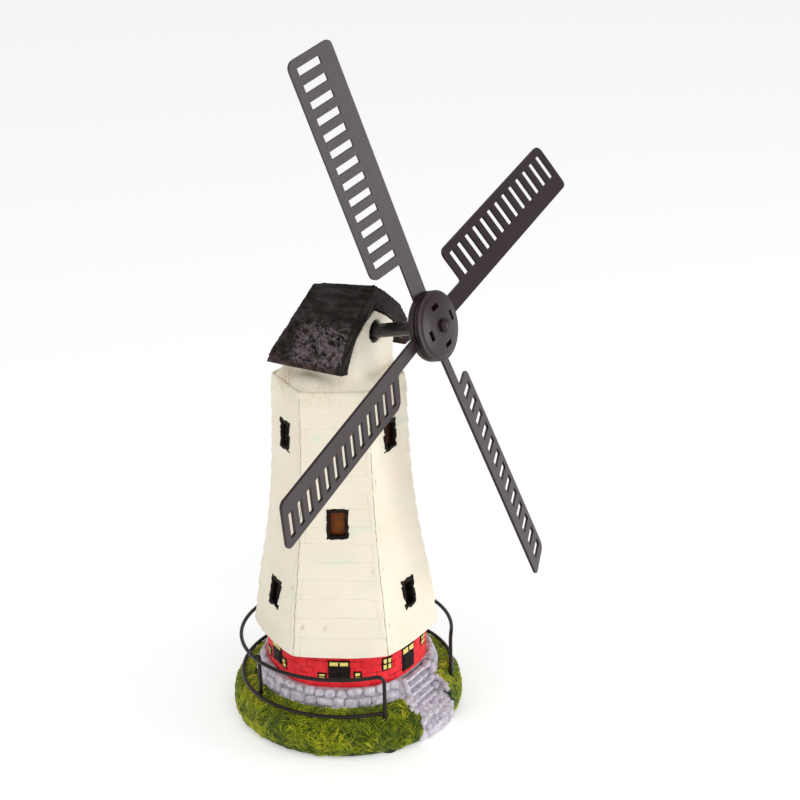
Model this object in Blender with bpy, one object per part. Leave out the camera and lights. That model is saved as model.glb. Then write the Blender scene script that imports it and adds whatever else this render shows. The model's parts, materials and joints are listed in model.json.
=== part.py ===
"""Garden windmill ornament: a hollow hexagonal tower on a grassy mound, with a free-spinning rotor.

Run it with: blender --background --python part.py
Lengths are in millimetres, angles in degrees, and the mesh helpers turn them into metres.
The origin is the centre of the underside. +Z is up, and the rotor, door and steps face -Y.
A bearing is measured from -Y towards +X, so that 0 is the front and 90 is the right-hand side.
"""

from math import cos, pi, radians, sin

import bmesh
import bpy
from mathutils import Matrix, Vector

MM = 0.001
GAP = 0.3                      # clearance between pieces that touch
CUT = 20.0                     # depth of a cut that goes right through a wall
ROUND = 40                     # sides of a large turned piece
SMALL_ROUND = 20               # sides of a small turned piece

# Mound, foundation and brick storey
MOUND_RADIUS = 82.3
MOUND_UNDERSIDE = 0.8
MOUND_CAVITY_RADIUS = 48.0
SEAT_RADIUS = 66.8
SEAT_HEIGHT = 26.0
FOUNDATION_TOP = 42.3
FOUNDATION_CAVITY_RADIUS = 50.0
STOREY_RADIUS = 59.0           # corner radius of the hexagon
STOREY_WALL = 6.0

# Steps and path
STEPS_BACK = -56.0             # y of the top landing's inner end
STEP_COUNT = 4
STEP_RISE = 4.7
STEP_RUN = 2.5
LANDING_HEIGHT = 39.0
LANDING_FRONT = -59.0
PATH_FLOOR = 6.0               # height of the notch's floor in the mound
PATH_RIM_HEIGHT = 12.5

# Tower
SKIRT_HEIGHT = 69.1
TOWER_TOP = 255.2
TOWER_WALL = 3.5               # measured at the corners
SOFFIT_RADIUS = 52.0
SOFFIT_THICKNESS = 3.5
# Corner radius of the outer hexagon at each height, from the skirt to the shoulder
TOWER_OUTLINE = [(SKIRT_HEIGHT, 66.2), (88.0, 63.9), (106.3, 61.4), (129.0, 57.0), (152.8, 53.1),
                 (176.0, 50.5), (199.4, 48.7), (228.0, 47.4), (TOWER_TOP, 47.0)]
LINER_BOTTOM = 86.0
LINER_TOP = 240.0
LINER_THICKNESS = 1.0

# Windows
FRAME_WIDTH = 15.8
FRAME_HEIGHT = 22.2
PANE_WIDTH = 9.8
PANE_HEIGHT = 16.0
FRAME_DEPTH = 3.3
FRAME_PROUD = 1.0
HIGH_WINDOW = 221.0
MIDDLE_WINDOW = 164.5
LOW_WINDOW = 103.0

# Cap house and roof
CAP_BOTTOM = TOWER_TOP + GAP
CAP_SHOULDER = 262.5
CAP_FRONT = -32.0
CAP_BACK = 22.0
CAP_WALL = 3.0
CAP_CORNER = 10.0              # chamfer of the body's upright corners
# Half of the cap body's gable: distance from the centre plane, height
CAP_GABLE = [(30.6, 282.5), (21.9, 295.6), (13.0, 302.4), (0.0, 309.4)]
# Half of the roof's front end, outside and inside
ROOF_OUTER = [(0.0, 328.0), (10.0, 321.2), (17.5, 315.5), (29.6, 306.0), (36.0, 298.5), (41.0, 289.5),
              (43.8, 281.8), (43.3, 275.4)]
ROOF_INNER = [(34.8, 274.0), (34.1, 278.0), (31.6, 284.0), (22.9, 297.0), (13.6, 303.9), (0.0, 311.0)]
EAVE_HEIGHT = 277.5
RIDGE_HEIGHT = 328.0
RIDGE_FALL = 6.4               # how much lower the ridge's back end is
ROOF_FRONT = -33.0
ROOF_BACK = 18.0
EAVE_FLARE = 12.0              # how much further back the eaves reach
FLARE_TOP = 0.45               # share of the roof's height where that begins

# Rotor
ROTOR_CENTRE = (0.0, -75.6, 305.2)
SHAFT_TILT = 13.46             # the shaft rises towards the front
BLADE_BEARING = 15.9           # the first blade's angle from +X, seen from the front
BLADE_TIP = 205.0
BLADE_ROOT = 15.0
LATTICE_START = 50.9
SPAR_EDGE = -6.4
ARM_EDGE = 5.3
LATTICE_EDGE = 30.1
BLADE_THICKNESS = 1.8
BLADE_PITCH = 18.55
BLADE_CONE = 1.54
SLOT_COUNT = 13
SLOT_FIRST = 57.3
SLOT_PITCH = 11.37
SLOT_WIDTH = 5.4
SLOT_SPAN = (5.6, 24.3)
HUB_RADIUS = 23.6
HUB_BACK_FACE = -3.5
HUB_SPLIT = 2.4
HUB_RIM = 6.6
HUB_CROWN = 10.6
HUB_BOSS_RADIUS = 4.8
HUB_BOSS_TOP = 15.1
HUB_SLOT_RADIUS = 13.9
HUB_SLOT_BEARING = 14.5
SHAFT_RADIUS = 2.0
SHAFT_BACK = -91.0
SHAFT_FRONT = 12.5
SLEEVE_RADIUS = 4.85
SLEEVE_BACK = -52.0
BUSH_RADIUS = 7.3
BUSH_FRONT = -44.0
BUSH_BACK = -51.0
CROSSBAR_Y = (-4.0, 4.0)
CROSSBAR_Z = (268.0, 273.0, 288.0)     # bottom, shoulder and top
CROSSBAR_TOP_WIDTH = 36.0

# Wire railing
WIRE_RADIUS = 1.5
RAIL_RADIUS = 76.7
RAIL_HEIGHT = 60.1
LOWER_RAIL_HEIGHT = 31.0
RAIL_CORNER = 6.0
RAIL_START = -36.3             # bearing of the left end post
RAIL_END = 23.0                # bearing of the right end post
POST_BEARINGS = [-114.0, 173.0, 100.0]
LEG_BOTTOM = 16.0

# Underside, battery and lighting
COVER_RADIUS = 60.0
COVER_THICKNESS = 3.0
FOOT_RADIUS = 6.2
FOOT_CENTRE = 74.6
FOOT_THICKNESS = 2.0
FOOT_BEARINGS = [-34.0, 56.0, 146.0, -124.0]
SCREW_CIRCLE = 54.0
SCREW_BEARINGS = [30.0, 150.0, -90.0]
SCREW_HEAD_RADIUS = 3.0
SCREW_SHANK_RADIUS = 1.5
SCREW_HEAD_TOP = 1.7
SCREW_TIP = 12.0
DOOR_SIZE = (56.0, 20.0)
DOOR_CENTRE_Y = 18.0
DOOR_THICKNESS = 2.0
DOOR_HINGE_Z = 1.3
DOOR_PIN_RADIUS = 0.8
DOOR_PIN_REACH = 2.0           # how far each pin sticks out of the door
HINGE_SETBACK = 1.0            # from the door's rear edge to its hinge line
BATTERY_RADIUS = 7.25
BATTERY_LENGTH = 50.0
BOX_WALL = 1.6
BOX_HEIGHT = 18.5
BOARD_THICKNESS = 1.6
SWITCH_CENTRE = (0.0, -24.0)
SWITCH_TRAVEL = 3.0
SWITCH_SLOT = (9.0, 4.4)
SWITCH_BODY = (16.0, 8.0, 6.0)
SWITCH_KNOB = (4.0, 3.4, 5.6)
KNOB_BOTTOM = 0.6
BOARD_SIZE = (50.0, 20.0)
LAMP_SPACING = 20.0
PANEL_SIZE = (27.0, 41.0)
PANEL_THICKNESS = 2.6
PANEL_CENTRE = (19.8, -7.0, 309.4)
PANEL_TILT = 37.6
PANEL_FALL = 5.4               # degrees that the panel slopes down to the back
PANEL_BEZEL = 1.5              # width of the frame round the solar cell
LEAD_RADIUS = 1.0
LEAD_CLEARANCE = 1.2
LEAD_EXIT = 16.0               # how far behind the solar cell's centre its lead comes out


# ---------------------------------------------------------------- materials

def material(name, colour, roughness, metallic=0.0):
    found = bpy.data.materials.get(name)
    if found:
        return found
    made = bpy.data.materials.new(name)
    made.use_nodes = True
    shader = made.node_tree.nodes["Principled BSDF"]
    shader.inputs["Base Color"].default_value = (*colour, 1.0)
    shader.inputs["Roughness"].default_value = roughness
    shader.inputs["Metallic"].default_value = metallic
    made.diffuse_color = (*colour, 1.0)
    return made


def cream_resin():
    return material("cream_resin", (0.87, 0.80, 0.67), 0.6)


def grass_resin():
    return material("grass_resin", (0.14, 0.24, 0.03), 0.8)


def stone_resin():
    return material("stone_resin", (0.50, 0.47, 0.53), 0.8)


def brick_resin():
    return material("brick_resin", (0.58, 0.02, 0.03), 0.6)


def bark_resin():
    return material("bark_resin", (0.022, 0.016, 0.017), 0.45)


def frame_resin():
    return material("frame_resin", (0.035, 0.02, 0.018), 0.6)


def amber_film():
    return material("amber_film", (0.30, 0.09, 0.005), 0.3)


def rotor_plastic():
    return material("rotor_plastic", (0.03, 0.026, 0.027), 0.42)


def black_wire():
    return material("black_wire", (0.02, 0.016, 0.014), 0.45, 0.4)


def bright_steel():
    return material("bright_steel", (0.6, 0.6, 0.6), 0.3, 1.0)


def black_plastic():
    return material("black_plastic", (0.02, 0.02, 0.02), 0.5)


def white_plastic():
    return material("white_plastic", (0.7, 0.7, 0.68), 0.5)


def black_rubber():
    return material("black_rubber", (0.03, 0.02, 0.018), 0.85)


def board_laminate():
    return material("board_laminate", (0.02, 0.15, 0.05), 0.5)


def clear_resin():
    return material("clear_resin", (0.8, 0.75, 0.6), 0.1)


def battery_wrap():
    return material("battery_wrap", (0.05, 0.25, 0.12), 0.35)


def solar_glass():
    return material("solar_glass", (0.01, 0.015, 0.05), 0.15)


# ---------------------------------------------------------------- shape helpers

def add_object(name, data, look):
    data.materials.append(look)
    made = bpy.data.objects.new(name, data)
    bpy.context.scene.collection.objects.link(made)
    return made


def finish_mesh(name, bm, look, smooth=False):
    """Turns a bmesh in millimetres into an object in metres, with its faces pointing out."""
    bmesh.ops.recalc_face_normals(bm, faces=bm.faces)
    if bm.calc_volume(signed=True) < 0:
        bmesh.ops.reverse_faces(bm, faces=bm.faces)
    bmesh.ops.scale(bm, vec=(MM, MM, MM), verts=bm.verts)
    mesh = bpy.data.meshes.new(name)
    bm.to_mesh(mesh)
    bm.free()
    made = add_object(name, mesh, look)
    if smooth:
        mesh.shade_smooth()
        mesh.set_sharp_from_angle(angle=radians(35))
    return made


def bearing_point(radius, bearing, height):
    """The point at a radius and bearing round the upright axis."""
    angle = radians(bearing)
    return Vector((radius * sin(angle), -radius * cos(angle), height))


def hexagon(radius, height):
    """Corners of the tower's hexagon: its faces look along bearings 0, 60, 120 and so on."""
    return [bearing_point(radius, 30 + 60 * k, height) for k in range(6)]


def loft(rings, closed=False):
    """Skins rings of equal length. closed joins the last ring to the first, for a hollow wall."""
    bm = bmesh.new()
    loops = [[bm.verts.new(point) for point in ring] for ring in rings]
    count = len(rings[0])
    pairs = list(zip(loops, loops[1:]))
    if closed:
        pairs.append((loops[-1], loops[0]))
    else:
        bm.faces.new(loops[0])
        bm.faces.new(loops[-1])
    for lower, upper in pairs:
        for k in range(count):
            after = (k + 1) % count
            bm.faces.new((lower[k], lower[after], upper[after], upper[k]))
    return bm


def circle(radius, height, steps):
    return [(radius * cos(2 * pi * k / steps), radius * sin(2 * pi * k / steps), height)
            for k in range(steps)]


def turned(profile, steps):
    """A solid turned about Z from (radius, height) points, whose ends are on the axis."""
    bm = bmesh.new()
    loops = []
    for radius, height in profile:
        points = [(0, 0, height)] if radius == 0 else circle(radius, height, steps)
        loops.append([bm.verts.new(point) for point in points])
    for lower, upper in zip(loops, loops[1:]):
        for k in range(steps):
            after = (k + 1) % steps
            corners = []
            for vert in (lower[k % len(lower)], lower[after % len(lower)],
                         upper[after % len(upper)], upper[k % len(upper)]):
                if vert not in corners:
                    corners.append(vert)
            bm.faces.new(corners)
    return bm


def turned_ring(profile, steps):
    """A ring turned about Z from a closed (radius, height) outline."""
    return loft([circle(radius, height, steps) for radius, height in profile], closed=True)


def box(size, centre=(0, 0, 0)):
    bm = bmesh.new()
    bmesh.ops.create_cube(bm, size=1)
    bmesh.ops.scale(bm, vec=size, verts=bm.verts)
    bmesh.ops.translate(bm, vec=centre, verts=bm.verts)
    return bm


def hull(points):
    bm = bmesh.new()
    verts = [bm.verts.new(point) for point in points]
    found = bmesh.ops.convex_hull(bm, input=verts)
    spare = set(found["geom_interior"] + found["geom_unused"])
    bmesh.ops.delete(bm, geom=[item for item in spare if isinstance(item, bmesh.types.BMVert)])
    bmesh.ops.dissolve_limit(bm, angle_limit=radians(0.5), verts=bm.verts, edges=bm.edges)
    return bm


def plate(outline, thickness, holes=()):
    """A flat plate in XY with holes, centred on z = 0."""
    bm = bmesh.new()
    for loop in (outline, *holes):
        verts = [bm.verts.new((x, y, -thickness / 2)) for x, y in loop]
        for first, second in zip(verts, verts[1:] + verts[:1]):
            bm.edges.new((first, second))
    bmesh.ops.triangle_fill(bm, edges=bm.edges, normal=(0, 0, 1), use_beauty=True)
    grown = bmesh.ops.extrude_face_region(bm, geom=bm.faces[:] + bm.edges[:] + bm.verts[:])
    moved = [item for item in grown["geom"] if isinstance(item, bmesh.types.BMVert)]
    bmesh.ops.translate(bm, vec=(0, 0, thickness), verts=moved)
    return bm


def rounded(corners, steps=4):
    """A closed outline from (x, y, corner radius), with each corner turned into an arc."""
    outline = []
    for k, (x, y, radius) in enumerate(corners):
        corner = Vector((x, y))
        before = (Vector(corners[k - 1][:2]) - corner).normalized()
        after = (Vector(corners[(k + 1) % len(corners)][:2]) - corner).normalized()
        if radius == 0:
            outline.append((x, y))
            continue
        middle = (before + after).normalized()
        half = before.angle(middle)
        reach = radius / sin(half)
        centre = corner + middle * reach
        start = (corner + before * (reach * cos(half)) - centre).normalized()
        end = (corner + after * (reach * cos(half)) - centre).normalized()
        for step in range(steps + 1):
            outline.append(tuple(centre + start.slerp(end, step / steps) * radius))
    return outline


def rectangle(width, height, centre=(0, 0)):
    x, y = centre
    return [(x - width / 2, y - height / 2), (x + width / 2, y - height / 2),
            (x + width / 2, y + height / 2), (x - width / 2, y + height / 2)]


def moved(bm, matrix):
    bm.transform(matrix)
    return bm


def boolean(target, bm, operation="DIFFERENCE"):
    """Cuts, joins or intersects the target with a helper solid, which stays hidden."""
    helper = finish_mesh(f"helper_{target.name}_{len(target.modifiers)}", bm, target.active_material)
    helper.hide_render = True
    helper.display_type = "WIRE"
    helper.parent = target.parent
    helper.matrix_parent_inverse = target.matrix_parent_inverse
    helper.matrix_basis = target.matrix_basis
    step = target.modifiers.new(operation.title(), "BOOLEAN")
    step.operation = operation
    step.solver = "EXACT"
    step.object = helper


def tube(name, points, radius, look):
    curve = bpy.data.curves.new(name, "CURVE")
    curve.dimensions = "3D"
    curve.bevel_depth = radius * MM
    curve.bevel_resolution = 2
    curve.use_fill_caps = True
    spline = curve.splines.new("POLY")
    spline.points.add(len(points) - 1)
    for place, point in zip(spline.points, points):
        place.co = (*(Vector(point) * MM), 1.0)
    return add_object(name, curve, look)


def hang(child, parent):
    child.parent = parent
    return child


# ---------------------------------------------------------------- mound, steps and lower walls

def path_plan(grow):
    """Outline of the steps and path seen from above, wider towards the rim."""
    return [(-15.0 - grow, STEPS_BACK + grow), (19.0 + grow, STEPS_BACK + grow),
            (15.5 + grow, -90.0), (-28.5 - grow, -90.0)]


def path_solid(grow, bottom, top):
    outline = path_plan(grow)
    return loft([[(x, y, z) for x, y in outline] for z in (bottom, top)])


def make_mound():
    outline = [(SEAT_RADIUS, SEAT_HEIGHT), (67.2, 31.0), (70.5, 30.4), (74.5, 28.4), (78.0, 25.0),
               (80.8, 20.8), (82.1, 16.0), (MOUND_RADIUS, 11.0), (81.5, 5.0), (79.6, MOUND_UNDERSIDE),
               (COVER_RADIUS + GAP, MOUND_UNDERSIDE), (COVER_RADIUS + GAP, COVER_THICKNESS + GAP),
               (MOUND_CAVITY_RADIUS, COVER_THICKNESS + GAP), (MOUND_CAVITY_RADIUS, SEAT_HEIGHT)]
    mound = finish_mesh("ground_mound", turned_ring(outline, ROUND), grass_resin(), smooth=True)
    boolean(mound, path_solid(GAP, PATH_FLOOR, 50.0))
    legs = [(RAIL_RADIUS, RAIL_START), (RAIL_RADIUS, RAIL_END)]
    posts = [(RAIL_RADIUS - 2 * WIRE_RADIUS - GAP, bearing) for bearing in POST_BEARINGS]
    for radius, bearing in legs + posts:
        hole = moved(turned([(0, LEG_BOTTOM - GAP), (WIRE_RADIUS + GAP, LEG_BOTTOM - GAP),
                             (WIRE_RADIUS + GAP, 45.0), (0, 45.0)], 12),
                     Matrix.Translation(bearing_point(radius, bearing, 0)))
        boolean(mound, hole)
    for bearing in FOOT_BEARINGS:
        boolean(mound, moved(foot_shape(GAP), Matrix.Translation(bearing_point(FOOT_CENTRE, bearing, 0))))
    for bearing in SCREW_BEARINGS:
        hole = rod(SCREW_SHANK_RADIUS + GAP, 0.0, SCREW_TIP + GAP)
        boolean(mound, moved(hole, Matrix.Translation(bearing_point(SCREW_CIRCLE, bearing, 0))))
    return mound


def rod(radius, bottom, top, steps=16):
    return turned([(0, bottom), (radius, bottom), (radius, top), (0, top)], steps)


def foot_shape(grow):
    return rod(FOOT_RADIUS + grow, 0.0 - grow, FOOT_THICKNESS + grow)


def make_foundation():
    outline = [(FOUNDATION_CAVITY_RADIUS, SEAT_HEIGHT + GAP), (SEAT_RADIUS - GAP, SEAT_HEIGHT + GAP),
               (SEAT_RADIUS - GAP, 31.0), (65.0, 37.0), (61.8, FOUNDATION_TOP),
               (FOUNDATION_CAVITY_RADIUS, FOUNDATION_TOP)]
    foundation = finish_mesh("stone_foundation", turned_ring(outline, ROUND), stone_resin())
    boolean(foundation, path_solid(GAP, 20.0, 50.0))


def make_steps():
    """Side outline of the flight and path, swept across, then trimmed to the plan and the rim."""
    outline = [(STEPS_BACK, PATH_FLOOR + GAP), (STEPS_BACK, LANDING_HEIGHT)]
    y, z = LANDING_FRONT, LANDING_HEIGHT
    for _ in range(STEP_COUNT):
        outline.append((y, z))
        z -= STEP_RISE
        outline.append((y, z))
        y -= STEP_RUN
    outline += [(y, z), (-78.0, PATH_RIM_HEIGHT + 2.5), (-81.0, PATH_RIM_HEIGHT), (-82.2, PATH_FLOOR + GAP)]
    steps = finish_mesh("steps_and_path", loft([[(x, y, z) for y, z in outline] for x in (-40.0, 40.0)]),
                        stone_resin())
    boolean(steps, path_solid(0, 0, 60), "INTERSECT")
    rim = [(0, 0), (MOUND_RADIUS, 0), (MOUND_RADIUS, 11.0), (80.5, 16.0), (79.0, 60), (0, 60)]
    boolean(steps, turned(rim, ROUND), "INTERSECT")


def make_brick_storey():
    bottom, top = FOUNDATION_TOP + GAP, SKIRT_HEIGHT - GAP
    inner = STOREY_RADIUS - STOREY_WALL
    rings = [hexagon(STOREY_RADIUS, bottom), hexagon(STOREY_RADIUS, top), hexagon(inner, top),
             hexagon(inner, bottom)]
    finish_mesh("brick_storey", loft(rings, closed=True), brick_resin())


# ---------------------------------------------------------------- tower and windows

def tower_radius(height):
    """Corner radius of the tower's outer hexagon at a height."""
    for (low, wide), (high, narrow) in zip(TOWER_OUTLINE, TOWER_OUTLINE[1:]):
        if height <= high:
            return wide + (narrow - wide) * (height - low) / (high - low)
    return TOWER_OUTLINE[-1][1]


def window_places():
    """Bearing and height of each window: two on every other face, one on the faces between."""
    places = []
    for face in range(6):
        heights = (HIGH_WINDOW, LOW_WINDOW) if face % 2 == 0 else (MIDDLE_WINDOW,)
        places += [(60.0 * face, height) for height in heights]
    return places


def face_frame(bearing, height):
    """Local frame on a tower face: X across, Y up the face, Z out of it."""
    reach = 10.0
    flat = cos(radians(30))
    low = bearing_point(tower_radius(height - reach) * flat, bearing, height - reach)
    high = bearing_point(tower_radius(height + reach) * flat, bearing, height + reach)
    up = (high - low).normalized()
    across = Vector((cos(radians(bearing)), sin(radians(bearing)), 0))
    out = across.cross(up)
    frame = Matrix((across, up, out)).transposed().to_4x4()
    frame.translation = (low + high) / 2
    return frame


def make_tower():
    rings = [hexagon(radius, height) for height, radius in TOWER_OUTLINE]
    inside = [(height, radius - TOWER_WALL) for height, radius in TOWER_OUTLINE[1:]]
    rings += [hexagon(radius, height) for height, radius in reversed(inside)]
    shelf = SKIRT_HEIGHT + SOFFIT_THICKNESS
    rings += [hexagon(tower_radius(shelf) - TOWER_WALL, shelf), hexagon(SOFFIT_RADIUS, shelf),
              hexagon(SOFFIT_RADIUS, SKIRT_HEIGHT)]
    tower = finish_mesh("tower_shell", loft(rings, closed=True), cream_resin())
    for bearing, height in window_places():
        opening = box((FRAME_WIDTH + 2 * GAP, FRAME_HEIGHT + 2 * GAP, CUT))
        boolean(tower, moved(opening, face_frame(bearing, height)))


def make_window_frames():
    back, front = FRAME_PROUD - FRAME_DEPTH, FRAME_PROUD
    rings = []
    for width, height, depth in ((FRAME_WIDTH, FRAME_HEIGHT, back), (FRAME_WIDTH, FRAME_HEIGHT, front),
                                 (PANE_WIDTH, PANE_HEIGHT, front), (PANE_WIDTH, PANE_HEIGHT, back)):
        rings.append([(x, y, depth) for x, y in rectangle(width, height)])
    shared = finish_mesh("window_frame_1", loft(rings, closed=True), frame_resin())
    for number, (bearing, height) in enumerate(window_places(), 1):
        frame = shared
        if number > 1:
            frame = bpy.data.objects.new(f"window_frame_{number}", shared.data)
            bpy.context.scene.collection.objects.link(frame)
        place = face_frame(bearing, height)
        place.translation *= MM
        frame.matrix_world = place


def make_liner():
    """One amber tube behind all the windows, just inside the tower's wall."""
    heights = [LINER_BOTTOM] + [h for h, _ in TOWER_OUTLINE if LINER_BOTTOM < h < LINER_TOP] + [LINER_TOP]
    outer = [(h, tower_radius(h) - TOWER_WALL - 2 * GAP) for h in heights]
    rings = [hexagon(radius, h) for h, radius in outer]
    rings += [hexagon(radius - LINER_THICKNESS, h) for h, radius in reversed(outer)]
    finish_mesh("amber_window_liner", loft(rings, closed=True), amber_film())


# ---------------------------------------------------------------- cap house and roof

def rise(z):
    """Share of the roof's height, from 0 at the eaves to 1 at the ridge."""
    return (z - EAVE_HEIGHT) / (RIDGE_HEIGHT - EAVE_HEIGHT)


def sag(y, z):
    """How far a point of the roof or the gable lies below the same point of the front end."""
    return RIDGE_FALL * max(rise(z), 0) * (y - ROOF_FRONT) / (ROOF_BACK - ROOF_FRONT)


def gable_solid(inset, bottom):
    """The cap body: an upright block with chamfered corners under a curved gable."""
    front, back = CAP_FRONT + inset, CAP_BACK - inset
    points = []
    for k, (x, z) in enumerate(CAP_GABLE):
        ends = (front + CAP_CORNER, back - CAP_CORNER) if k == 0 else (front, back)
        for y in ends:
            for side in (-1, 1):
                points.append((side * max(x - inset, 0), y, z - inset - sag(y, z)))
                points.append((side * max(x - inset, 0), y, bottom))
    return hull(points)


def rotor_frame():
    """Rotor frame: origin at the hub, X right, Y up the rotor's plane, Z forward along the shaft."""
    tilt = radians(SHAFT_TILT)
    across, up = Vector((1, 0, 0)), Vector((0, sin(tilt), cos(tilt)))
    frame = Matrix((across, up, across.cross(up))).transposed().to_4x4()
    frame.translation = Vector(ROTOR_CENTRE)
    return frame


def make_cap_house():
    levels = [(CAP_BOTTOM, 47.0), (258.5, 46.2), (261.0, 43.6), (CAP_SHOULDER, 40.0)]
    shoulder = loft([hexagon(radius, height) for height, radius in levels])
    cap = finish_mesh("cap_house", shoulder, cream_resin())
    boolean(cap, gable_solid(0, CAP_BOTTOM + 3.0), "UNION")
    boolean(cap, gable_solid(CAP_WALL, CAP_BOTTOM - 5.0))
    bore = rod(BUSH_RADIUS + GAP, -60.0, -30.0, SMALL_ROUND)
    boolean(cap, moved(bore, rotor_frame()))
    boolean(cap, lead_hole())


def roof_front(x, z):
    return (x, ROOF_FRONT, z)


def roof_back(x, z):
    """The point of the back end that lies behind a point of the front end: lower, and flared at the eaves."""
    below = min(max(1 - rise(z) / FLARE_TOP, 0), 1)
    return (x, ROOF_BACK + EAVE_FLARE * below ** 2, z - sag(ROOF_BACK, z))


def panel_frame():
    frame = Matrix.Rotation(radians(-PANEL_FALL), 4, "X") @ Matrix.Rotation(radians(PANEL_TILT), 4, "Y")
    frame.translation = Vector(PANEL_CENTRE)
    return frame


def lead_hole():
    """Hole through the roof and the cap behind the solar cell, for its lead."""
    hole = rod(LEAD_RADIUS + LEAD_CLEARANCE, -1.5 * CUT, 4.0, 12)
    return moved(hole, panel_frame() @ Matrix.Translation((0, LEAD_EXIT, 0)))


def make_roof():
    right = ROOF_OUTER + ROOF_INNER
    left = [(-x, z) for x, z in reversed(ROOF_OUTER[1:] + ROOF_INNER[:-1])]
    outline = right + left
    rings = [[end(x, z) for x, z in outline] for end in (roof_front, roof_back)]
    roof = finish_mesh("roof", loft(rings), bark_resin())
    recess = box((PANEL_SIZE[0] + 2 * GAP, PANEL_SIZE[1] + 2 * GAP, CUT), (0, 0, CUT / 2 - GAP))
    boolean(roof, moved(recess, panel_frame()))
    boolean(roof, lead_hole())


def make_solar_panel():
    inner = (PANEL_SIZE[0] - 2 * PANEL_BEZEL, PANEL_SIZE[1] - 2 * PANEL_BEZEL)
    rings = []
    for (width, height), depth in ((PANEL_SIZE, 0.0), (PANEL_SIZE, PANEL_THICKNESS),
                                   (inner, PANEL_THICKNESS), (inner, 0.0)):
        rings.append([(x, y, depth) for x, y in rectangle(width, height)])
    finish_mesh("solar_panel_bezel", moved(loft(rings, closed=True), panel_frame()), black_plastic())
    cell = box((inner[0] - 2 * GAP, inner[1] - 2 * GAP, PANEL_THICKNESS - 0.4), (0, 0, PANEL_THICKNESS / 2))
    finish_mesh("solar_cell", moved(cell, panel_frame()), solar_glass())


# ---------------------------------------------------------------- rotor

def blade_frame(number):
    """Blade frame: X out along the blade, Y across it towards the lattice, Z out of its face."""
    bearing = radians(BLADE_BEARING + 90.0 * number)
    cone, pitch = radians(BLADE_CONE), radians(BLADE_PITCH)
    forward = Vector((0, 0, 1))
    out = Vector((cos(bearing), sin(bearing), 0))
    lead = forward.cross(out)
    across = lead * cos(pitch) - forward * sin(pitch)
    along = (out * cos(cone) + forward * sin(cone)).normalized()
    across = (across - along * across.dot(along)).normalized()
    return Matrix((along, across, along.cross(across))).transposed().to_4x4()


def blade_outline():
    corners = [(BLADE_ROOT, SPAR_EDGE, 0), (BLADE_TIP, SPAR_EDGE, 4), (BLADE_TIP, LATTICE_EDGE, 5.5)]
    corners += [(LATTICE_START, LATTICE_EDGE, 5.5), (LATTICE_START, ARM_EDGE, 2), (BLADE_ROOT, ARM_EDGE, 0)]
    return rounded(corners)


def blade_slots():
    low, high = SLOT_SPAN
    middle = (low + high) / 2
    return [rectangle(SLOT_WIDTH, high - low, (SLOT_FIRST + SLOT_WIDTH / 2 + SLOT_PITCH * k, middle))
            for k in range(SLOT_COUNT)]


def root_pocket():
    """The slot that a blade's root sits in, between the two halves of the hub."""
    size = (CUT, ARM_EDGE - SPAR_EDGE + 2 * GAP, BLADE_THICKNESS + 2 * GAP)
    return box(size, (BLADE_ROOT - GAP + CUT / 2, (ARM_EDGE + SPAR_EDGE) / 2, 0))


def make_blades(axis):
    shared = finish_mesh("blade_1", plate(blade_outline(), BLADE_THICKNESS, blade_slots()), rotor_plastic())
    for number in range(4):
        blade = shared
        if number > 0:
            blade = bpy.data.objects.new(f"blade_{number + 1}", shared.data)
            bpy.context.scene.collection.objects.link(blade)
        hang(blade, axis).matrix_basis = blade_frame(number)


def make_hub(axis):
    bore = SHAFT_RADIUS + GAP
    outline = [(bore, HUB_BACK_FACE), (HUB_RADIUS - 0.8, HUB_BACK_FACE), (HUB_RADIUS, HUB_BACK_FACE + 0.8),
               (HUB_RADIUS, HUB_SPLIT), (bore, HUB_SPLIT)]
    back = hang(finish_mesh("hub_back", turned_ring(outline, ROUND), rotor_plastic(), smooth=True), axis)
    under = HUB_SPLIT + GAP
    outline = [(bore, under), (6.0, under), (6.0, 8.4), (14.0, 7.7), (20.0, 6.4), (21.8, 5.6)]
    outline += [(21.8, under), (HUB_RADIUS, under), (HUB_RADIUS, HUB_RIM - 0.6)]
    outline += [(HUB_RADIUS - 0.6, HUB_RIM), (20.0, 8.0), (14.0, 9.4), (8.0, 10.2), (bore, HUB_CROWN)]
    cover = hang(finish_mesh("hub_cover", turned_ring(outline, ROUND), rotor_plastic(), smooth=True), axis)
    for number in range(4):
        for half in (back, cover):
            boolean(half, moved(root_pocket(), blade_frame(number)))
        turn = Matrix.Rotation(radians(HUB_SLOT_BEARING + 90.0 * number), 4, "Z")
        boolean(cover, moved(box((4.0, 7.5, 10.0), (HUB_SLOT_RADIUS, 0, 10.0)), turn))


def make_hub_cap(axis):
    """Blind cap pressed over the front end of the shaft."""
    bore = SHAFT_RADIUS + GAP
    base = HUB_CROWN + GAP
    bevel = 1.2
    outline = [(0, HUB_BOSS_TOP), (HUB_BOSS_RADIUS - bevel, HUB_BOSS_TOP)]
    outline += [(HUB_BOSS_RADIUS, HUB_BOSS_TOP - bevel), (HUB_BOSS_RADIUS, base), (bore, base)]
    outline += [(bore, SHAFT_FRONT + GAP), (0, SHAFT_FRONT + GAP)]
    hang(finish_mesh("hub_cap", turned(outline, SMALL_ROUND), rotor_plastic(), smooth=True), axis)


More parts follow.
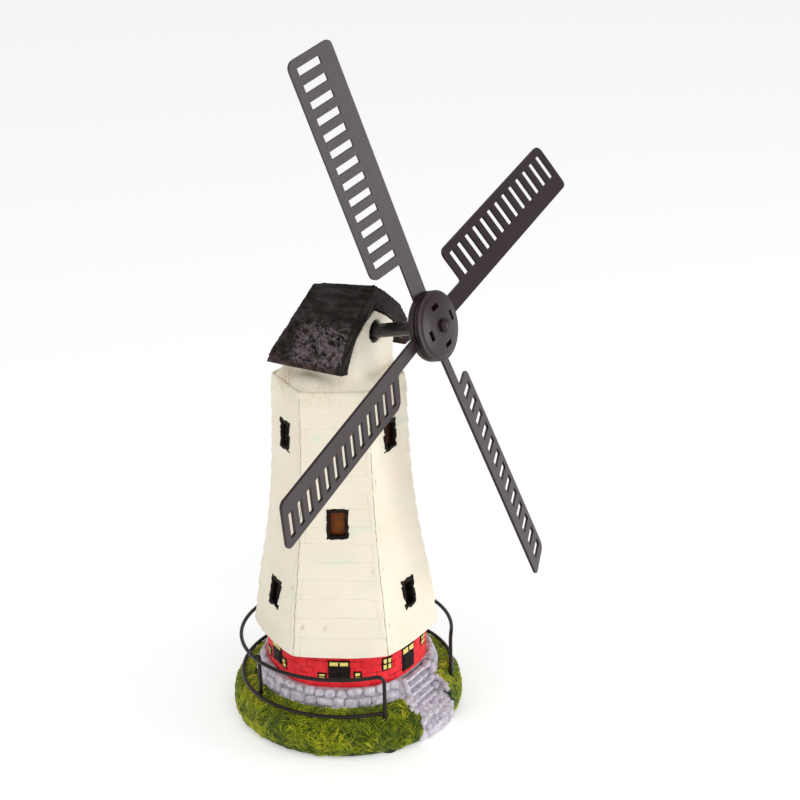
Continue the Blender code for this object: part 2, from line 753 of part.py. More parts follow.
def make_shaft(axis):
    """Steel shaft with a plastic spacer sleeve between the hub and the front bush."""
    shaft = rod(SHAFT_RADIUS, SHAFT_BACK, SHAFT_FRONT)
    hang(finish_mesh("rotor_shaft", shaft, bright_steel(), smooth=True), axis)
    bore = SHAFT_RADIUS + GAP
    front = HUB_BACK_FACE - GAP
    sleeve = [(bore, SLEEVE_BACK), (SLEEVE_RADIUS, SLEEVE_BACK), (SLEEVE_RADIUS, front), (bore, front)]
    hang(finish_mesh("spacer_sleeve", turned_ring(sleeve, SMALL_ROUND), rotor_plastic(), smooth=True), axis)
    nut_front, nut_back = SHAFT_BACK + 6.0, SHAFT_BACK + 2.0
    nut = [(bore, nut_back), (4.0, nut_back), (4.0, nut_front), (bore, nut_front)]
    hang(finish_mesh("shaft_nut", turned_ring(nut, 6), bright_steel()), axis)


def make_bearings():
    """The front bush in the cap's front wall, and a crossbar that carries the shaft's rear end."""
    bore = SLEEVE_RADIUS + GAP
    outline = [(bore, BUSH_BACK), (BUSH_RADIUS, BUSH_BACK), (BUSH_RADIUS, BUSH_FRONT), (bore, BUSH_FRONT)]
    ring = moved(turned_ring(outline, SMALL_ROUND), rotor_frame())
    finish_mesh("front_bush", ring, black_plastic(), smooth=True)
    reach = CAP_GABLE[0][0] - CAP_WALL - GAP
    narrow = CROSSBAR_TOP_WIDTH / 2
    bottom, shoulder, top = CROSSBAR_Z
    outline = [(-reach, bottom), (reach, bottom), (reach, shoulder), (narrow, top), (-narrow, top),
               (-reach, shoulder)]
    bar = finish_mesh("rear_bearing_bar", loft([[(x, y, z) for x, z in outline] for y in CROSSBAR_Y]),
                      black_plastic())
    boolean(bar, moved(rod(SHAFT_RADIUS + GAP, -120.0, -40.0), rotor_frame()))


# ---------------------------------------------------------------- railing

def rail_point(along, height, radius=RAIL_RADIUS):
    """A point on the railing's cylinder, a distance along it from the left end post."""
    return bearing_point(radius, RAIL_START - along / radius * 180 / pi, height)


def make_rails():
    length = radians(360.0 - (RAIL_END - RAIL_START)) * RAIL_RADIUS
    corner = [(RAIL_CORNER * (1 - cos(radians(a))), RAIL_HEIGHT - RAIL_CORNER * (1 - sin(radians(a))))
              for a in range(0, 91, 30)]
    run = 52
    straight = [(RAIL_CORNER + (length - 2 * RAIL_CORNER) * k / run, RAIL_HEIGHT) for k in range(1, run)]
    start = [(0, LEG_BOTTOM), (0, 35.0)] + corner
    end = [(length - s, z) for s, z in reversed(start)]
    points = [rail_point(s, z) for s, z in start + straight + end]
    tube("upper_rail", points, WIRE_RADIUS, black_wire())
    inset = WIRE_RADIUS + GAP + 0.1
    lower = [rail_point(inset + (length - 2 * inset) * k / run, LOWER_RAIL_HEIGHT) for k in range(run + 1)]
    tube("lower_rail", lower, WIRE_RADIUS, black_wire())


def make_rail_posts():
    """Short wires welded inside the two rails and set in the mound."""
    radius = RAIL_RADIUS - 2 * WIRE_RADIUS - GAP
    for number, bearing in enumerate(POST_BEARINGS, 1):
        shape = moved(rod(WIRE_RADIUS, LEG_BOTTOM, RAIL_HEIGHT + 1.0, 10),
                      Matrix.Translation(bearing_point(radius, bearing, 0)))
        finish_mesh(f"rail_post_{number}", shape, black_wire(), smooth=True)


# ---------------------------------------------------------------- underside, power and light

def make_cover():
    """Plate that closes the hollow underside, with the battery hatch and the switch slot."""
    outline = [(0, 0), (COVER_RADIUS, 0), (COVER_RADIUS, COVER_THICKNESS), (0, COVER_THICKNESS)]
    cover = finish_mesh("base_cover", turned(outline, ROUND), black_plastic())
    width, depth = DOOR_SIZE
    boolean(cover, box((width + 2 * GAP, depth + 2 * GAP, CUT), (0, DOOR_CENTRE_Y, 0)))
    reach = width / 2 + 2 * DOOR_PIN_REACH
    pin_hole = rod(DOOR_PIN_RADIUS + GAP, -reach, reach, 12)
    axis = Matrix.Translation((0, hinge_line(), DOOR_HINGE_Z)) @ Matrix.Rotation(radians(90), 4, "Y")
    boolean(cover, moved(pin_hole, axis))
    boolean(cover, box((*SWITCH_SLOT, CUT), (*SWITCH_CENTRE, 0)))
    for bearing in SCREW_BEARINGS:
        place = Matrix.Translation(bearing_point(SCREW_CIRCLE, bearing, 0))
        boolean(cover, moved(screw_shape(-1.0, GAP), place))


def hinge_line():
    """The y of the battery door's hinge."""
    return DOOR_CENTRE_Y + DOOR_SIZE[1] / 2 - HINGE_SETBACK


def screw_shape(bottom, grow=0.0):
    """Pan-head screw, head down; grow widens it into its own hole."""
    head, shank = SCREW_HEAD_RADIUS + grow, SCREW_SHANK_RADIUS + grow
    shoulder = SCREW_HEAD_TOP + grow
    outline = [(0, bottom), (head, bottom), (head, shoulder), (shank, shoulder), (shank, SCREW_TIP),
               (0, SCREW_TIP)]
    return turned(outline, 16)


def make_screws():
    for number, bearing in enumerate(SCREW_BEARINGS, 1):
        place = Matrix.Translation(bearing_point(SCREW_CIRCLE, bearing, 0))
        finish_mesh(f"cover_screw_{number}", moved(screw_shape(GAP), place), bright_steel())


def make_battery_door():
    """Hatch with a rounded hinge edge and two pins that turn in the cover."""
    width, depth = DOOR_SIZE
    front = HINGE_SETBACK - depth
    half = DOOR_THICKNESS / 2
    outline = [(front, -half), (0, -half)]
    outline += [(half * cos(radians(a)), half * sin(radians(a))) for a in range(-60, 61, 30)]
    outline += [(0, half), (front, half)]
    rings = [[(x, y, z) for y, z in outline] for x in (-width / 2, width / 2)]
    door = finish_mesh("battery_door", loft(rings), black_plastic())
    door.location = Vector((0, hinge_line(), DOOR_HINGE_Z)) * MM
    reach = width / 2 + DOOR_PIN_REACH
    pins = rod(DOOR_PIN_RADIUS, -reach, reach, 12)
    boolean(door, moved(pins, Matrix.Rotation(radians(90), 4, "Y")), "UNION")


def make_battery():
    """A rechargeable cell lying in a tray that opens towards the hatch."""
    width, depth = (size + 2 * GAP for size in DOOR_SIZE)
    bottom = COVER_THICKNESS + GAP
    middle = bottom + BOX_HEIGHT / 2
    outer = box((width + 2 * BOX_WALL, depth + 2 * BOX_WALL, BOX_HEIGHT), (0, DOOR_CENTRE_Y, middle))
    tray = finish_mesh("battery_box", outer, black_plastic())
    boolean(tray, box((width, depth, BOX_HEIGHT), (0, DOOR_CENTRE_Y, middle - BOX_WALL)))
    tip = BATTERY_LENGTH / 2
    button_radius, button_height = 3.0, 1.5
    outline = [(0, -tip), (BATTERY_RADIUS, -tip), (BATTERY_RADIUS, tip - button_height),
               (button_radius, tip - button_height), (button_radius, tip), (0, tip)]
    place = Matrix.Translation((0, DOOR_CENTRE_Y, bottom + BOX_HEIGHT - BOX_WALL - GAP - BATTERY_RADIUS))
    cell = moved(turned(outline, SMALL_ROUND), place @ Matrix.Rotation(radians(90), 4, "Y"))
    finish_mesh("rechargeable_cell", cell, battery_wrap(), smooth=True)


def make_switch():
    """Slide switch above a slot in the cover; the knob stays clear of the ground."""
    x, y = SWITCH_CENTRE
    bottom = COVER_THICKNESS + GAP
    height = SWITCH_BODY[2]
    body = finish_mesh("switch_body", box(SWITCH_BODY, (x, y, bottom + height / 2)), black_plastic())
    boolean(body, box((*SWITCH_SLOT, height + 2.0), (x, y, bottom)))
    knob = finish_mesh("switch_knob", box(SWITCH_KNOB), white_plastic())
    knob.location = Vector((x - SWITCH_TRAVEL / 2, y, KNOB_BOTTOM + SWITCH_KNOB[2] / 2)) * MM


def make_lights():
    """Circuit board on top of the battery box, with two lamps that point up the tower.

    Returns the height of the board's top, with the gap."""
    board_bottom = COVER_THICKNESS + GAP + BOX_HEIGHT + GAP
    board = box((*BOARD_SIZE, BOARD_THICKNESS), (0, DOOR_CENTRE_Y, board_bottom + BOARD_THICKNESS / 2))
    finish_mesh("circuit_board", board, board_laminate())
    base = board_bottom + BOARD_THICKNESS + GAP
    outline = [(0, base), (2.9, base), (2.9, base + 1.0), (2.5, base + 1.0), (2.5, base + 6.0),
               (1.8, base + 7.8), (0, base + 8.6)]
    for number, x in enumerate((-LAMP_SPACING / 2, LAMP_SPACING / 2), 1):
        lamp = moved(turned(outline, SMALL_ROUND), Matrix.Translation((x, DOOR_CENTRE_Y, 0)))
        finish_mesh(f"led_lamp_{number}", lamp, clear_resin(), smooth=True)
    return base


def make_lead(board_top):
    """Two-core lead from the board up the inside of the tower to the back of the solar cell."""
    panel = panel_frame()
    end = panel @ Vector((0, LEAD_EXIT, 0))
    below = panel @ Vector((0, LEAD_EXIT, -18.0))
    route = [Vector((20, DOOR_CENTRE_Y, board_top)), Vector((20, DOOR_CENTRE_Y, board_top + 14)),
             Vector((16, 18, 100)), Vector((12, 18, 180)), Vector((12, 18, 240)), Vector((12, 14, 278)),
             below, end]
    steps = 8
    points = []
    padded = [route[0] * 2 - route[1]] + route + [route[-1] * 2 - route[-2]]
    for p0, p1, p2, p3 in zip(padded, padded[1:], padded[2:], padded[3:]):
        for k in range(steps):
            t = k / steps
            points.append(0.5 * (2 * p1 + (p2 - p0) * t + (2 * p0 - 5 * p1 + 4 * p2 - p3) * t ** 2
                                 + (3 * p1 - p0 - 3 * p2 + p3) * t ** 3))
    points.append(route[-1])
    tube("panel_lead", points, LEAD_RADIUS, black_plastic())


def make_feet():
    for number, bearing in enumerate(FOOT_BEARINGS, 1):
        place = Matrix.Translation(bearing_point(FOOT_CENTRE, bearing, 0))
        finish_mesh(f"rubber_foot_{number}", moved(foot_shape(0), place), black_rubber())


def main():
    for found in list(bpy.data.objects):
        bpy.data.objects.remove(found, do_unlink=True)
    make_mound()
    make_foundation()
    make_steps()
    make_brick_storey()
    make_tower()
    make_window_frames()
    make_liner()
    make_cap_house()
    make_roof()
    make_solar_panel()
    axis = bpy.data.objects.new("rotor_axis", None)
    bpy.context.scene.collection.objects.link(axis)
    frame = rotor_frame()
    frame.translation *= MM
    axis.matrix_world = frame
    make_hub(axis)
    make_hub_cap(axis)
    make_shaft(axis)
    make_blades(axis)
    make_bearings()
    make_rails()
    make_rail_posts()
    make_cover()
    make_screws()
    make_feet()
    make_battery_door()
    make_battery()
    make_switch()
    make_lead(make_lights())


main()
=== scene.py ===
"""Looks for the garden windmill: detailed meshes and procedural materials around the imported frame.

Lengths in this script are in millimetres unless a name ends in _M, and meshes are scaled to metres when they
are made. A bearing is measured from -Y towards +X. Places come from the frame's own nodes and joints.
"""

import itertools
import json
from math import atan2, cos, degrees, hypot, pi, radians, sin

import bmesh
import bpy
import numpy as np
from mathutils import Matrix, Vector
from mathutils.bvhtree import BVHTree


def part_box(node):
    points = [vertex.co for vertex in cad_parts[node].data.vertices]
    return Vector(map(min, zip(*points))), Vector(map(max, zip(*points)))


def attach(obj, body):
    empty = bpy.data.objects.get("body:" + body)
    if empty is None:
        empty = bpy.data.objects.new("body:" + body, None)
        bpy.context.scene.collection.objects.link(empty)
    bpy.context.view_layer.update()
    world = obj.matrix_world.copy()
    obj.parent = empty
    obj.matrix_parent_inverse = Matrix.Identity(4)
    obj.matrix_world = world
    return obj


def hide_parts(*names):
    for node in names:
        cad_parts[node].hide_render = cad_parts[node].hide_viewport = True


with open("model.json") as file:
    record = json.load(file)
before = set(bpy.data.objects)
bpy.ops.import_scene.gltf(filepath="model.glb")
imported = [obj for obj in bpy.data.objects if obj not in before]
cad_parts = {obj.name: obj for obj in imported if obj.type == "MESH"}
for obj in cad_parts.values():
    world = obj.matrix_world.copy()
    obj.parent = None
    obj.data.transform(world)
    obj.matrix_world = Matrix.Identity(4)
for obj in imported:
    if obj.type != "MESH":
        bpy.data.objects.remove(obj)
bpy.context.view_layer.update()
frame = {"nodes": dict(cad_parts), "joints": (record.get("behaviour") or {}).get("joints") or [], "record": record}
MM = 0.001
RNG = np.random.default_rng(11)
FLAT = cos(radians(30))        # apothem of a hexagon with corner radius 1


# ---------------------------------------------------------------- camera, light and floor

CAMERA_PLACE_M = Vector((-0.963, -0.6729, 0.688))
CAMERA_FORWARD = Vector((0.78419, 0.50679, -0.35808))
CAMERA_UP = Vector((0.31193, 0.1769, 0.93349))
CAMERA_LENS, SENSOR_WIDTH, CLIP_START_M = 81.28, 36.0, 0.01
# Place and size in metres, and power in watts
LAMPS = {"key": ((-1.3, -1.6, 2.0), 1.6, 12.5), "left": ((-2.2, 0.5, 1.1), 1.6, 6.0),
         "front": ((0.75, -2.1, 0.35), 0.9, 18.5)}
LAMP_TARGET_M = Vector((0, 0, 0.2))
SKY_STRENGTH = 0.58
FLOOR_REACH = 4e4
WHITE = (1.0, 1.0, 1.0, 1.0)
FLOOR_LOOK = {"Base Color": (0.96, 0.96, 0.96, 1), "Roughness": 0.9, "Specular IOR Level": 0.1,
              "Emission Color": WHITE, "Emission Strength": 0.34}


def add_object(name, data):
    made = bpy.data.objects.new(name, data)
    bpy.context.scene.collection.objects.link(made)
    return made


def make_camera():
    data = bpy.data.cameras.new("camera")
    data.lens, data.sensor_width, data.clip_start = CAMERA_LENS, SENSOR_WIDTH, CLIP_START_M
    camera = add_object("camera", data)
    forward = CAMERA_FORWARD.normalized()
    right = forward.cross(CAMERA_UP).normalized()
    place = Matrix((right, right.cross(forward), -forward)).transposed().to_4x4()
    place.translation = CAMERA_PLACE_M
    camera.matrix_world = place
    bpy.context.scene.camera = camera


def make_light(name, place, size, power):
    """A square soft light that looks at the middle of the tower."""
    data = bpy.data.lights.new(name, "AREA")
    data.shape, data.size, data.energy = "SQUARE", size, power
    lamp = add_object(name, data)
    lamp.location = place
    lamp.rotation_euler = (LAMP_TARGET_M - Vector(place)).to_track_quat("-Z", "Y").to_euler()


def make_studio():
    scene = bpy.context.scene
    scene.view_settings.view_transform = "Standard"
    world = bpy.data.worlds.new("studio")
    scene.world = world
    world.use_nodes = True
    background = world.node_tree.nodes["Background"]
    background.inputs["Color"].default_value = WHITE
    background.inputs["Strength"].default_value = SKY_STRENGTH
    for name, facts in LAMPS.items():
        make_light(name, *facts)
    corners = [(x * FLOOR_REACH, y * FLOOR_REACH, 0) for x, y in ((-1, -1), (1, -1), (1, 1), (-1, 1))]
    floor = mesh_object("floor", corners, [(0, 1, 2, 3)])
    look = bpy.data.materials.new("studio_floor")
    look.use_nodes = True
    for key, value in FLOOR_LOOK.items():
        look.node_tree.nodes["Principled BSDF"].inputs[key].default_value = value
    give(floor, look)


# ---------------------------------------------------------------- mesh helpers

# Faces of a box whose corners come from itertools.product
BOX_FACES = [(0, 1, 3, 2), (4, 6, 7, 5), (0, 4, 5, 1), (2, 3, 7, 6), (0, 2, 6, 4), (1, 5, 7, 3)]


def box_corners(centre, axes, *spans):
    """Corners of a box for BOX_FACES, from its centre, its three directions and its span along each."""
    first, second, third = axes
    return [centre + first * x + second * y + third * z for x, y, z in itertools.product(*spans)]


def mesh_object(name, verts, faces, smooth=True, sharp=None, **attributes):
    """Makes an object from points in millimetres. Extra keywords are float values for each point."""
    mesh = bpy.data.meshes.new(name)
    verts = np.asarray(verts, float) * MM
    mesh.from_pydata(verts.tolist(), [], [tuple(map(int, face)) for face in faces])
    for key, values in attributes.items():
        mark(mesh, key, values)
    if smooth:
        mesh.shade_smooth()
    if sharp:
        mesh.set_sharp_from_angle(angle=radians(sharp))
    return add_object(name, mesh)


def give(piece, look):
    piece.data.materials.clear()
    piece.data.materials.append(look)


def levels_of(node):
    """Lowest and highest level of a CAD node in millimetres."""
    return [corner.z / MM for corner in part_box(node)]


def place_piece(piece, look, slot, *nodes, body="tower"):
    """Gives a new piece its material and its body, and hides the CAD nodes it stands for. slot is not used."""
    give(piece, look)
    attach(piece, body)
    if nodes:
        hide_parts(*nodes)


def node_points(name):
    """A CAD node's points in millimetres."""
    mesh = frame["nodes"][name].data
    flat = np.empty(len(mesh.vertices) * 3)
    mesh.vertices.foreach_get("co", flat)
    return flat.reshape(-1, 3) / MM


def bearing_of(point):
    return degrees(atan2(point[0], -point[1]))


def bearing_point(radius, bearing, height):
    angle = radians(bearing)
    return np.array((radius * sin(angle), -radius * cos(angle), height))


def ring_faces(rows, columns, closed=False):
    """Quads of a grid that closes round its columns, and round its rows too if closed."""
    row = np.arange(rows if closed else rows - 1)[:, None]
    column = np.arange(columns)[None, :]
    after, above = (column + 1) % columns, (row + 1) % rows
    corners = [row * columns + column, row * columns + after, above * columns + after, above * columns + column]
    return np.stack(corners, -1).reshape(-1, 4).tolist()


def shake(reach):
    """The next random draw, up to reach either way."""
    return RNG.uniform(-reach, reach)


def lattice(i, j, k, seed):
    """A repeatable value in -1..1 for each whole-number cell."""
    mixed = (i * 73856093) ^ (j * 19349663) ^ (k * 83492791) ^ (seed * 2654435761)
    mixed = ((mixed ^ (mixed >> 13)) * 1274126177) & 0x7FFFFFFF
    return ((mixed ^ (mixed >> 16)) & 0xFFFF) / 32767.5 - 1


def noise(points, size, seed=0):
    """Smooth noise in -1..1 with features about size across; size may differ along each axis."""
    scaled = np.asarray(points, float) / size
    cell = np.floor(scaled).astype(np.int64)
    part = scaled - cell
    part = part * part * (3 - 2 * part)
    total = np.zeros(len(scaled))
    for corner in itertools.product((0, 1), repeat=3):
        weight = np.prod(np.where(np.array(corner) == 1, part, 1 - part), axis=1)
        i, j, k = (cell + corner).T
        total += weight * lattice(i, j, k, seed)
    return total


def jitter(points, size, seed):
    """Noise along each axis."""
    return np.stack([noise(points, size, seed=seed + axis) for axis in range(3)], -1)


def unit(vectors):
    """One vector, or a list of them, made one long."""
    return vectors / np.linalg.norm(vectors, axis=-1, keepdims=True)


def smoothstep(value, low, high):
    part = np.clip((value - low) / (high - low), 0, 1)
    return part * part * (3 - 2 * part)


def apply_modifiers(piece):
    made = bpy.data.meshes.new_from_object(piece.evaluated_get(bpy.context.evaluated_depsgraph_get()))
    piece.modifiers.clear()
    piece.data = made


def recast(node, name, voxel):
    """A copy of a CAD node's mesh with small, even faces and softened edges."""
    copy = add_object(name, frame["nodes"][node].data.copy())
    step = copy.modifiers.new("Remesh", "REMESH")
    step.mode = "VOXEL"
    step.voxel_size = voxel * MM
    step.use_smooth_shade = True
    apply_modifiers(copy)
    copy.data.shade_smooth()
    return copy


def points_and_normals(mesh):
    count = len(mesh.vertices)
    places, normals = np.empty(count * 3), np.empty(count * 3)
    mesh.vertices.foreach_get("co", places)
    mesh.vertices.foreach_get("normal", normals)
    return places.reshape(-1, 3) / MM, normals.reshape(-1, 3)


def relief(piece, height):
    """Moves each point of a piece along its normal by height(points, normals) millimetres."""
    places, normals = points_and_normals(piece.data)
    raised = height(places, normals)
    moved = (places + normals * raised[:, None]) * MM
    piece.data.vertices.foreach_set("co", moved.ravel())
    piece.data.update()
    return piece


def relaxed(piece, chosen, rounds):
    """Smooths the points of a piece for which chosen(points) is true."""
    bm = bmesh.new()
    bm.from_mesh(piece.data)
    places = np.array([vert.co for vert in bm.verts]) / MM
    picked = [vert for vert, pick in zip(bm.verts, chosen(places)) if pick]
    for _ in range(rounds):
        bmesh.ops.smooth_vert(bm, verts=picked, factor=0.5, use_axis_x=True, use_axis_y=True, use_axis_z=True)
    bm.to_mesh(piece.data)
    bm.free()


def mark(mesh, name, values):
    """Stores a float value for each point of a mesh."""
    layer = mesh.attributes.new(name, "FLOAT", "POINT")
    layer.data.foreach_set("value", np.asarray(values, np.float32))


def swept(points, radius, sides=14):
    """Points and faces of a round tube along a path. radius is a number or one for each path point."""
    points = np.asarray(points, float)
    count = len(points)
    tangents = unit(np.gradient(points, axis=0))
    side = np.array((0.0, 0.0, 1.0)) if abs(tangents[0][2]) < 0.9 else np.array((1.0, 0.0, 0.0))
    verts = []
    turn = np.arange(sides) * 2 * pi / sides
    for place, tangent, wide in zip(points, tangents, np.broadcast_to(radius, count)):
        side = unit(side - tangent * (side @ tangent))
        other = np.cross(tangent, side)
        verts += [place + wide * (cos(a) * side + sin(a) * other) for a in turn]
    ends = [list(range(sides))[::-1], list(range((count - 1) * sides, count * sides))]
    return np.array(verts), ring_faces(count, sides) + ends


def turned(profile, sides, closed):
    """Points and faces turned about Z from (radius, height) points, going up the outside."""
    angles = np.arange(sides) * 2 * pi / sides
    verts = [(radius * cos(a), radius * sin(a), height) for radius, height in profile for a in angles]
    return np.array(verts), ring_faces(len(profile), sides, closed)


def softened(profile, radius, closed):
    """Rounds the corners of an outline with small arcs."""
    count = len(profile)
    outline = []
    for k in range(count):
        corner = Vector(profile[k])
        if not closed and k in (0, count - 1):
            outline.append(tuple(corner))
            continue
        before, after = Vector(profile[k - 1]) - corner, Vector(profile[(k + 1) % count]) - corner
        reach = min(radius, before.length * 0.45, after.length * 0.45)
        start, end = corner + before.normalized() * reach, corner + after.normalized() * reach
        for t in (0, 0.25, 0.5, 0.75, 1):
            outline.append(tuple(start * (1 - t) ** 2 + corner * 2 * t * (1 - t) + end * t * t))
    return outline


class Pile:
    """Collects many small shapes into one mesh."""

    def __init__(self):
        self.verts, self.faces, self.values, self.count = [], [], [], 0

    def add(self, verts, faces, value=0.0):
        self.verts.append(np.asarray(verts, float))
        self.faces += [[int(index) + self.count for index in face] for face in faces]
        self.values.append(np.broadcast_to(value, len(verts)))
        self.count += len(verts)

    def make(self, name, **options):
        return mesh_object(name, np.concatenate(self.verts), self.faces, shade=np.concatenate(self.values),
                           **options)


# ---------------------------------------------------------------- material helpers
# A socket's id_data is the node tree that it belongs to.

def srgb(*levels):
    """A screen colour with levels from 0 to 255, as linear RGBA."""
    linear = [((v / 255 + 0.055) / 1.055) ** 2.4 if v > 10 else v / 255 / 12.92 for v in levels]
    return (*linear, 1.0)


def new_look(name):
    """A new material, its node tree, and the place on the object that its patterns follow."""
    made = bpy.data.materials.new(name)
    made.use_nodes = True
    return made, made.node_tree, object_place(made.node_tree)


def add_node(tree, kind, inputs=None, **settings):
    made = tree.nodes.new(kind)
    for key, value in settings.items():
        setattr(made, key, value)
    inputs = inputs or {}
    feed(tree, [made.inputs[key] for key in inputs], inputs.values())
    return made


def object_place(tree, stretch=(1, 1, 1)):
    """The point on the object, in its own coordinates, stretched along each axis."""
    coordinates = tree.nodes.new("ShaderNodeTexCoord").outputs["Object"]
    return add_node(tree, "ShaderNodeMapping", {"Vector": coordinates, "Scale": stretch}).outputs["Vector"]


def cloud(place, size, detail=4.0, roughness=0.55):
    """Noise with features about size millimetres across."""
    inputs = {"Vector": place, "Scale": 1 / (size * MM), "Detail": detail, "Roughness": roughness,
              "Distortion": 0.0}
    return add_node(place.id_data, "ShaderNodeTexNoise", inputs).outputs["Fac"]


def ramp(factor, stops):
    """Colour ramp from (position, colour) stops."""
    made = add_node(factor.id_data, "ShaderNodeValToRGB", {"Fac": factor})
    line = made.color_ramp
    while len(line.elements) < len(stops):
        line.elements.new(0.5)
    for element, (position, colour) in zip(line.elements, stops):
        element.position = position
        element.color = colour
    return made.outputs["Color"]


def grey_ramp(factor, low, high, bottom=0.0, top=1.0):
    """Maps factor from low..high to bottom..top, clamped."""
    inputs = {"Value": factor, "From Min": low, "From Max": high, "To Min": bottom, "To Max": top}
    return add_node(factor.id_data, "ShaderNodeMapRange", inputs).outputs["Result"]


def feed(tree, sockets, values):
    """Links or sets each input in turn."""
    for socket, value in zip(sockets, values):
        if isinstance(value, bpy.types.NodeSocket):
            tree.links.new(value, socket)
        else:
            socket.default_value = value


def mix(factor, first, second):
    made = add_node(factor.id_data, "ShaderNodeMix", data_type="RGBA")
    feed(factor.id_data, [made.inputs[k] for k in (0, 6, 7)], (factor, first, second))
    return made.outputs[2]


def math(operation, first, second):
    made = add_node(first.id_data, "ShaderNodeMath", {0: first, 1: second}, operation=operation)
    return made.outputs["Value"]


def attribute(tree, name):
    return add_node(tree, "ShaderNodeAttribute", attribute_name=name).outputs["Fac"]


def height_of(place):
    return add_node(place.id_data, "ShaderNodeSeparateXYZ", {"Vector": place}).outputs["Z"]


def finish_look(look, colour, grain, depth, gloss, specular=None, metallic=0.0, patches=None):
    """Raises the grain by depth. gloss is a roughness, or a pair that it varies between.

    It varies with patches, or with the grain where there are none.
    """
    tree = look.node_tree
    shader = tree.nodes["Principled BSDF"]
    bumps = add_node(tree, "ShaderNodeBump", {"Height": grain, "Distance": depth * MM, "Strength": 1.0})
    if isinstance(gloss, tuple):
        gloss = grey_ramp(grain if patches is None else patches, 0.3, 0.7, *gloss)
    feed(tree, [shader.inputs[key] for key in ("Base Color", "Normal", "Roughness", "Metallic")],
         (colour, bumps.outputs["Normal"], gloss, metallic))
    if specular is not None:
        shader.inputs["Specular IOR Level"].default_value = specular
    return look


def plain_look(name, dark, light, roughness, grain=1.0, patch=12.0, depth=0.05, **finish):
    """A moulded or painted finish: patchy colour, uneven gloss and a fine grain in relief."""
    look, _, place = new_look(name)
    colour = ramp(cloud(place, patch), [(0.3, srgb(*dark)), (0.7, srgb(*light))])
    return finish_look(look, colour, cloud(place, grain, detail=3.0), depth,
                       (roughness - 0.06, roughness + 0.06), **finish)


# ---------------------------------------------------------------- materials

# The cap's shoulder shows its ochre undercoat: the levels where that fades in and out, and its barest corner
SHOULDER_START_M, SHOULDER_END_M = (0.246, 0.258), (0.275, 0.264)
SCUFFED_CORNER_M = (-0.032, 0.021, 0.2605)


def cream_look():
    """lip darkens the laps between boards; joint draws the seams and nail heads."""
    look, tree, place = new_look("cream_boards")
    patches = cloud(place, 60.0, detail=2.0)
    base = ramp(patches, [(0.35, srgb(238, 229, 207)), (0.65, srgb(246, 238, 219))])
    streaky = object_place(tree, (1, 1, 2.2))
    green = grey_ramp(cloud(streaky, 26.0, detail=3.0), 0.55, 0.75, 0, 0.55)
    colour = mix(green, base, srgb(221, 231, 208))
    elsewhere = add_node(tree, "ShaderNodeMapping", {"Vector": place, "Location": (3.1, 1.7, 0.4)}).outputs[0]
    pink = grey_ramp(cloud(elsewhere, 30.0, detail=3.0), 0.55, 0.75, 0, 0.5)
    colour = mix(pink, colour, srgb(249, 226, 205))
    colour = mix(attribute(tree, "lip"), colour, srgb(150, 158, 134))
    height = height_of(place)
    shoulder = math("MULTIPLY", grey_ramp(height, *SHOULDER_START_M),
                    grey_ramp(height, *SHOULDER_END_M))
    smudge = grey_ramp(cloud(elsewhere, 20.0, detail=3.0), 0.42, 0.6, 0, 0.4)
    speckle = grey_ramp(cloud(place, 1.8, detail=5.0), 0.4, 0.62)
    away = add_node(tree, "ShaderNodeVectorMath", {0: place, 1: SCUFFED_CORNER_M}, operation="DISTANCE")
    spot = grey_ramp(away.outputs["Value"], 0.003, 0.014, 0.8, 0.0)
    wear_and_highlight = math("MAXIMUM", math("MULTIPLY", shoulder, smudge), spot)
    colour = mix(math("MULTIPLY", wear_and_highlight, speckle), colour, srgb(184, 152, 88))
    broken = grey_ramp(cloud(place, 5.0, detail=4.0), 0.32, 0.5)
    line = math("MULTIPLY", attribute(tree, "joint"), broken)
    colour = mix(line, colour, srgb(96, 72, 50))
    fine = cloud(object_place(tree, (1, 1, 3)), 3.5, detail=5.0)
    return finish_look(look, colour, fine, 0.12, (0.5, 0.64), 0.3)


def frame_look():
    look, tree, place = new_look("dark_frames")
    base = ramp(cloud(place, 4.0), [(0.3, srgb(12, 7, 5)), (0.7, srgb(30, 20, 16))])
    scrape = cloud(object_place(tree, (2.2, 2.2, 0.7)), 1.6, detail=6.0)
    colour = mix(grey_ramp(scrape, 0.6, 0.72, 0, 0.6), base, srgb(112, 96, 90))
    fine = cloud(place, 1.4, detail=5.0)
    return finish_look(look, colour, fine, 0.3, (0.42, 0.64), 0.12)


def brick_look():
    look, tree, place = new_look("brickwork")
    base = ramp(cloud(place, 9.0),
                [(0.3, srgb(218, 18, 34)), (0.55, srgb(238, 32, 46)), (0.8, srgb(246, 60, 68))])
    lines = ramp(cloud(place, 7.0), [(0.45, srgb(122, 8, 20)), (0.6, srgb(244, 92, 90))])
    colour = mix(attribute(tree, "joint"), base, lines)
    scrape = cloud(object_place(tree, (1, 1, 2.5)), 2.2, detail=5.0)
    colour = mix(grey_ramp(scrape, 0.66, 0.74, 0, 0.5), colour, srgb(238, 130, 128))
    fine = cloud(place, 1.2, detail=4.0)
    return finish_look(look, colour, fine, 0.15, (0.45, 0.62), 0.3)


def stone_look():
    """shade runs from 0 on the tops of the stones to 1 in the mortar between them; up-facing mortar and treads are
    given less, as painted light from above.
    """
    look, tree, place = new_look("stonework")
    mottled = ramp(cloud(place, 3.5, detail=6.0),
                   [(0.32, srgb(172, 164, 178)), (0.5, srgb(208, 201, 211)), (0.66, srgb(234, 230, 237))])
    mortar = grey_ramp(attribute(tree, "shade"), 0.0, 1.0, 0.0, 0.9)
    colour = mix(mortar, mottled, srgb(112, 104, 116))
    fine = cloud(place, 0.9, detail=5.0)
    return finish_look(look, colour, fine, 0.22, (0.55, 0.75), 0.3)


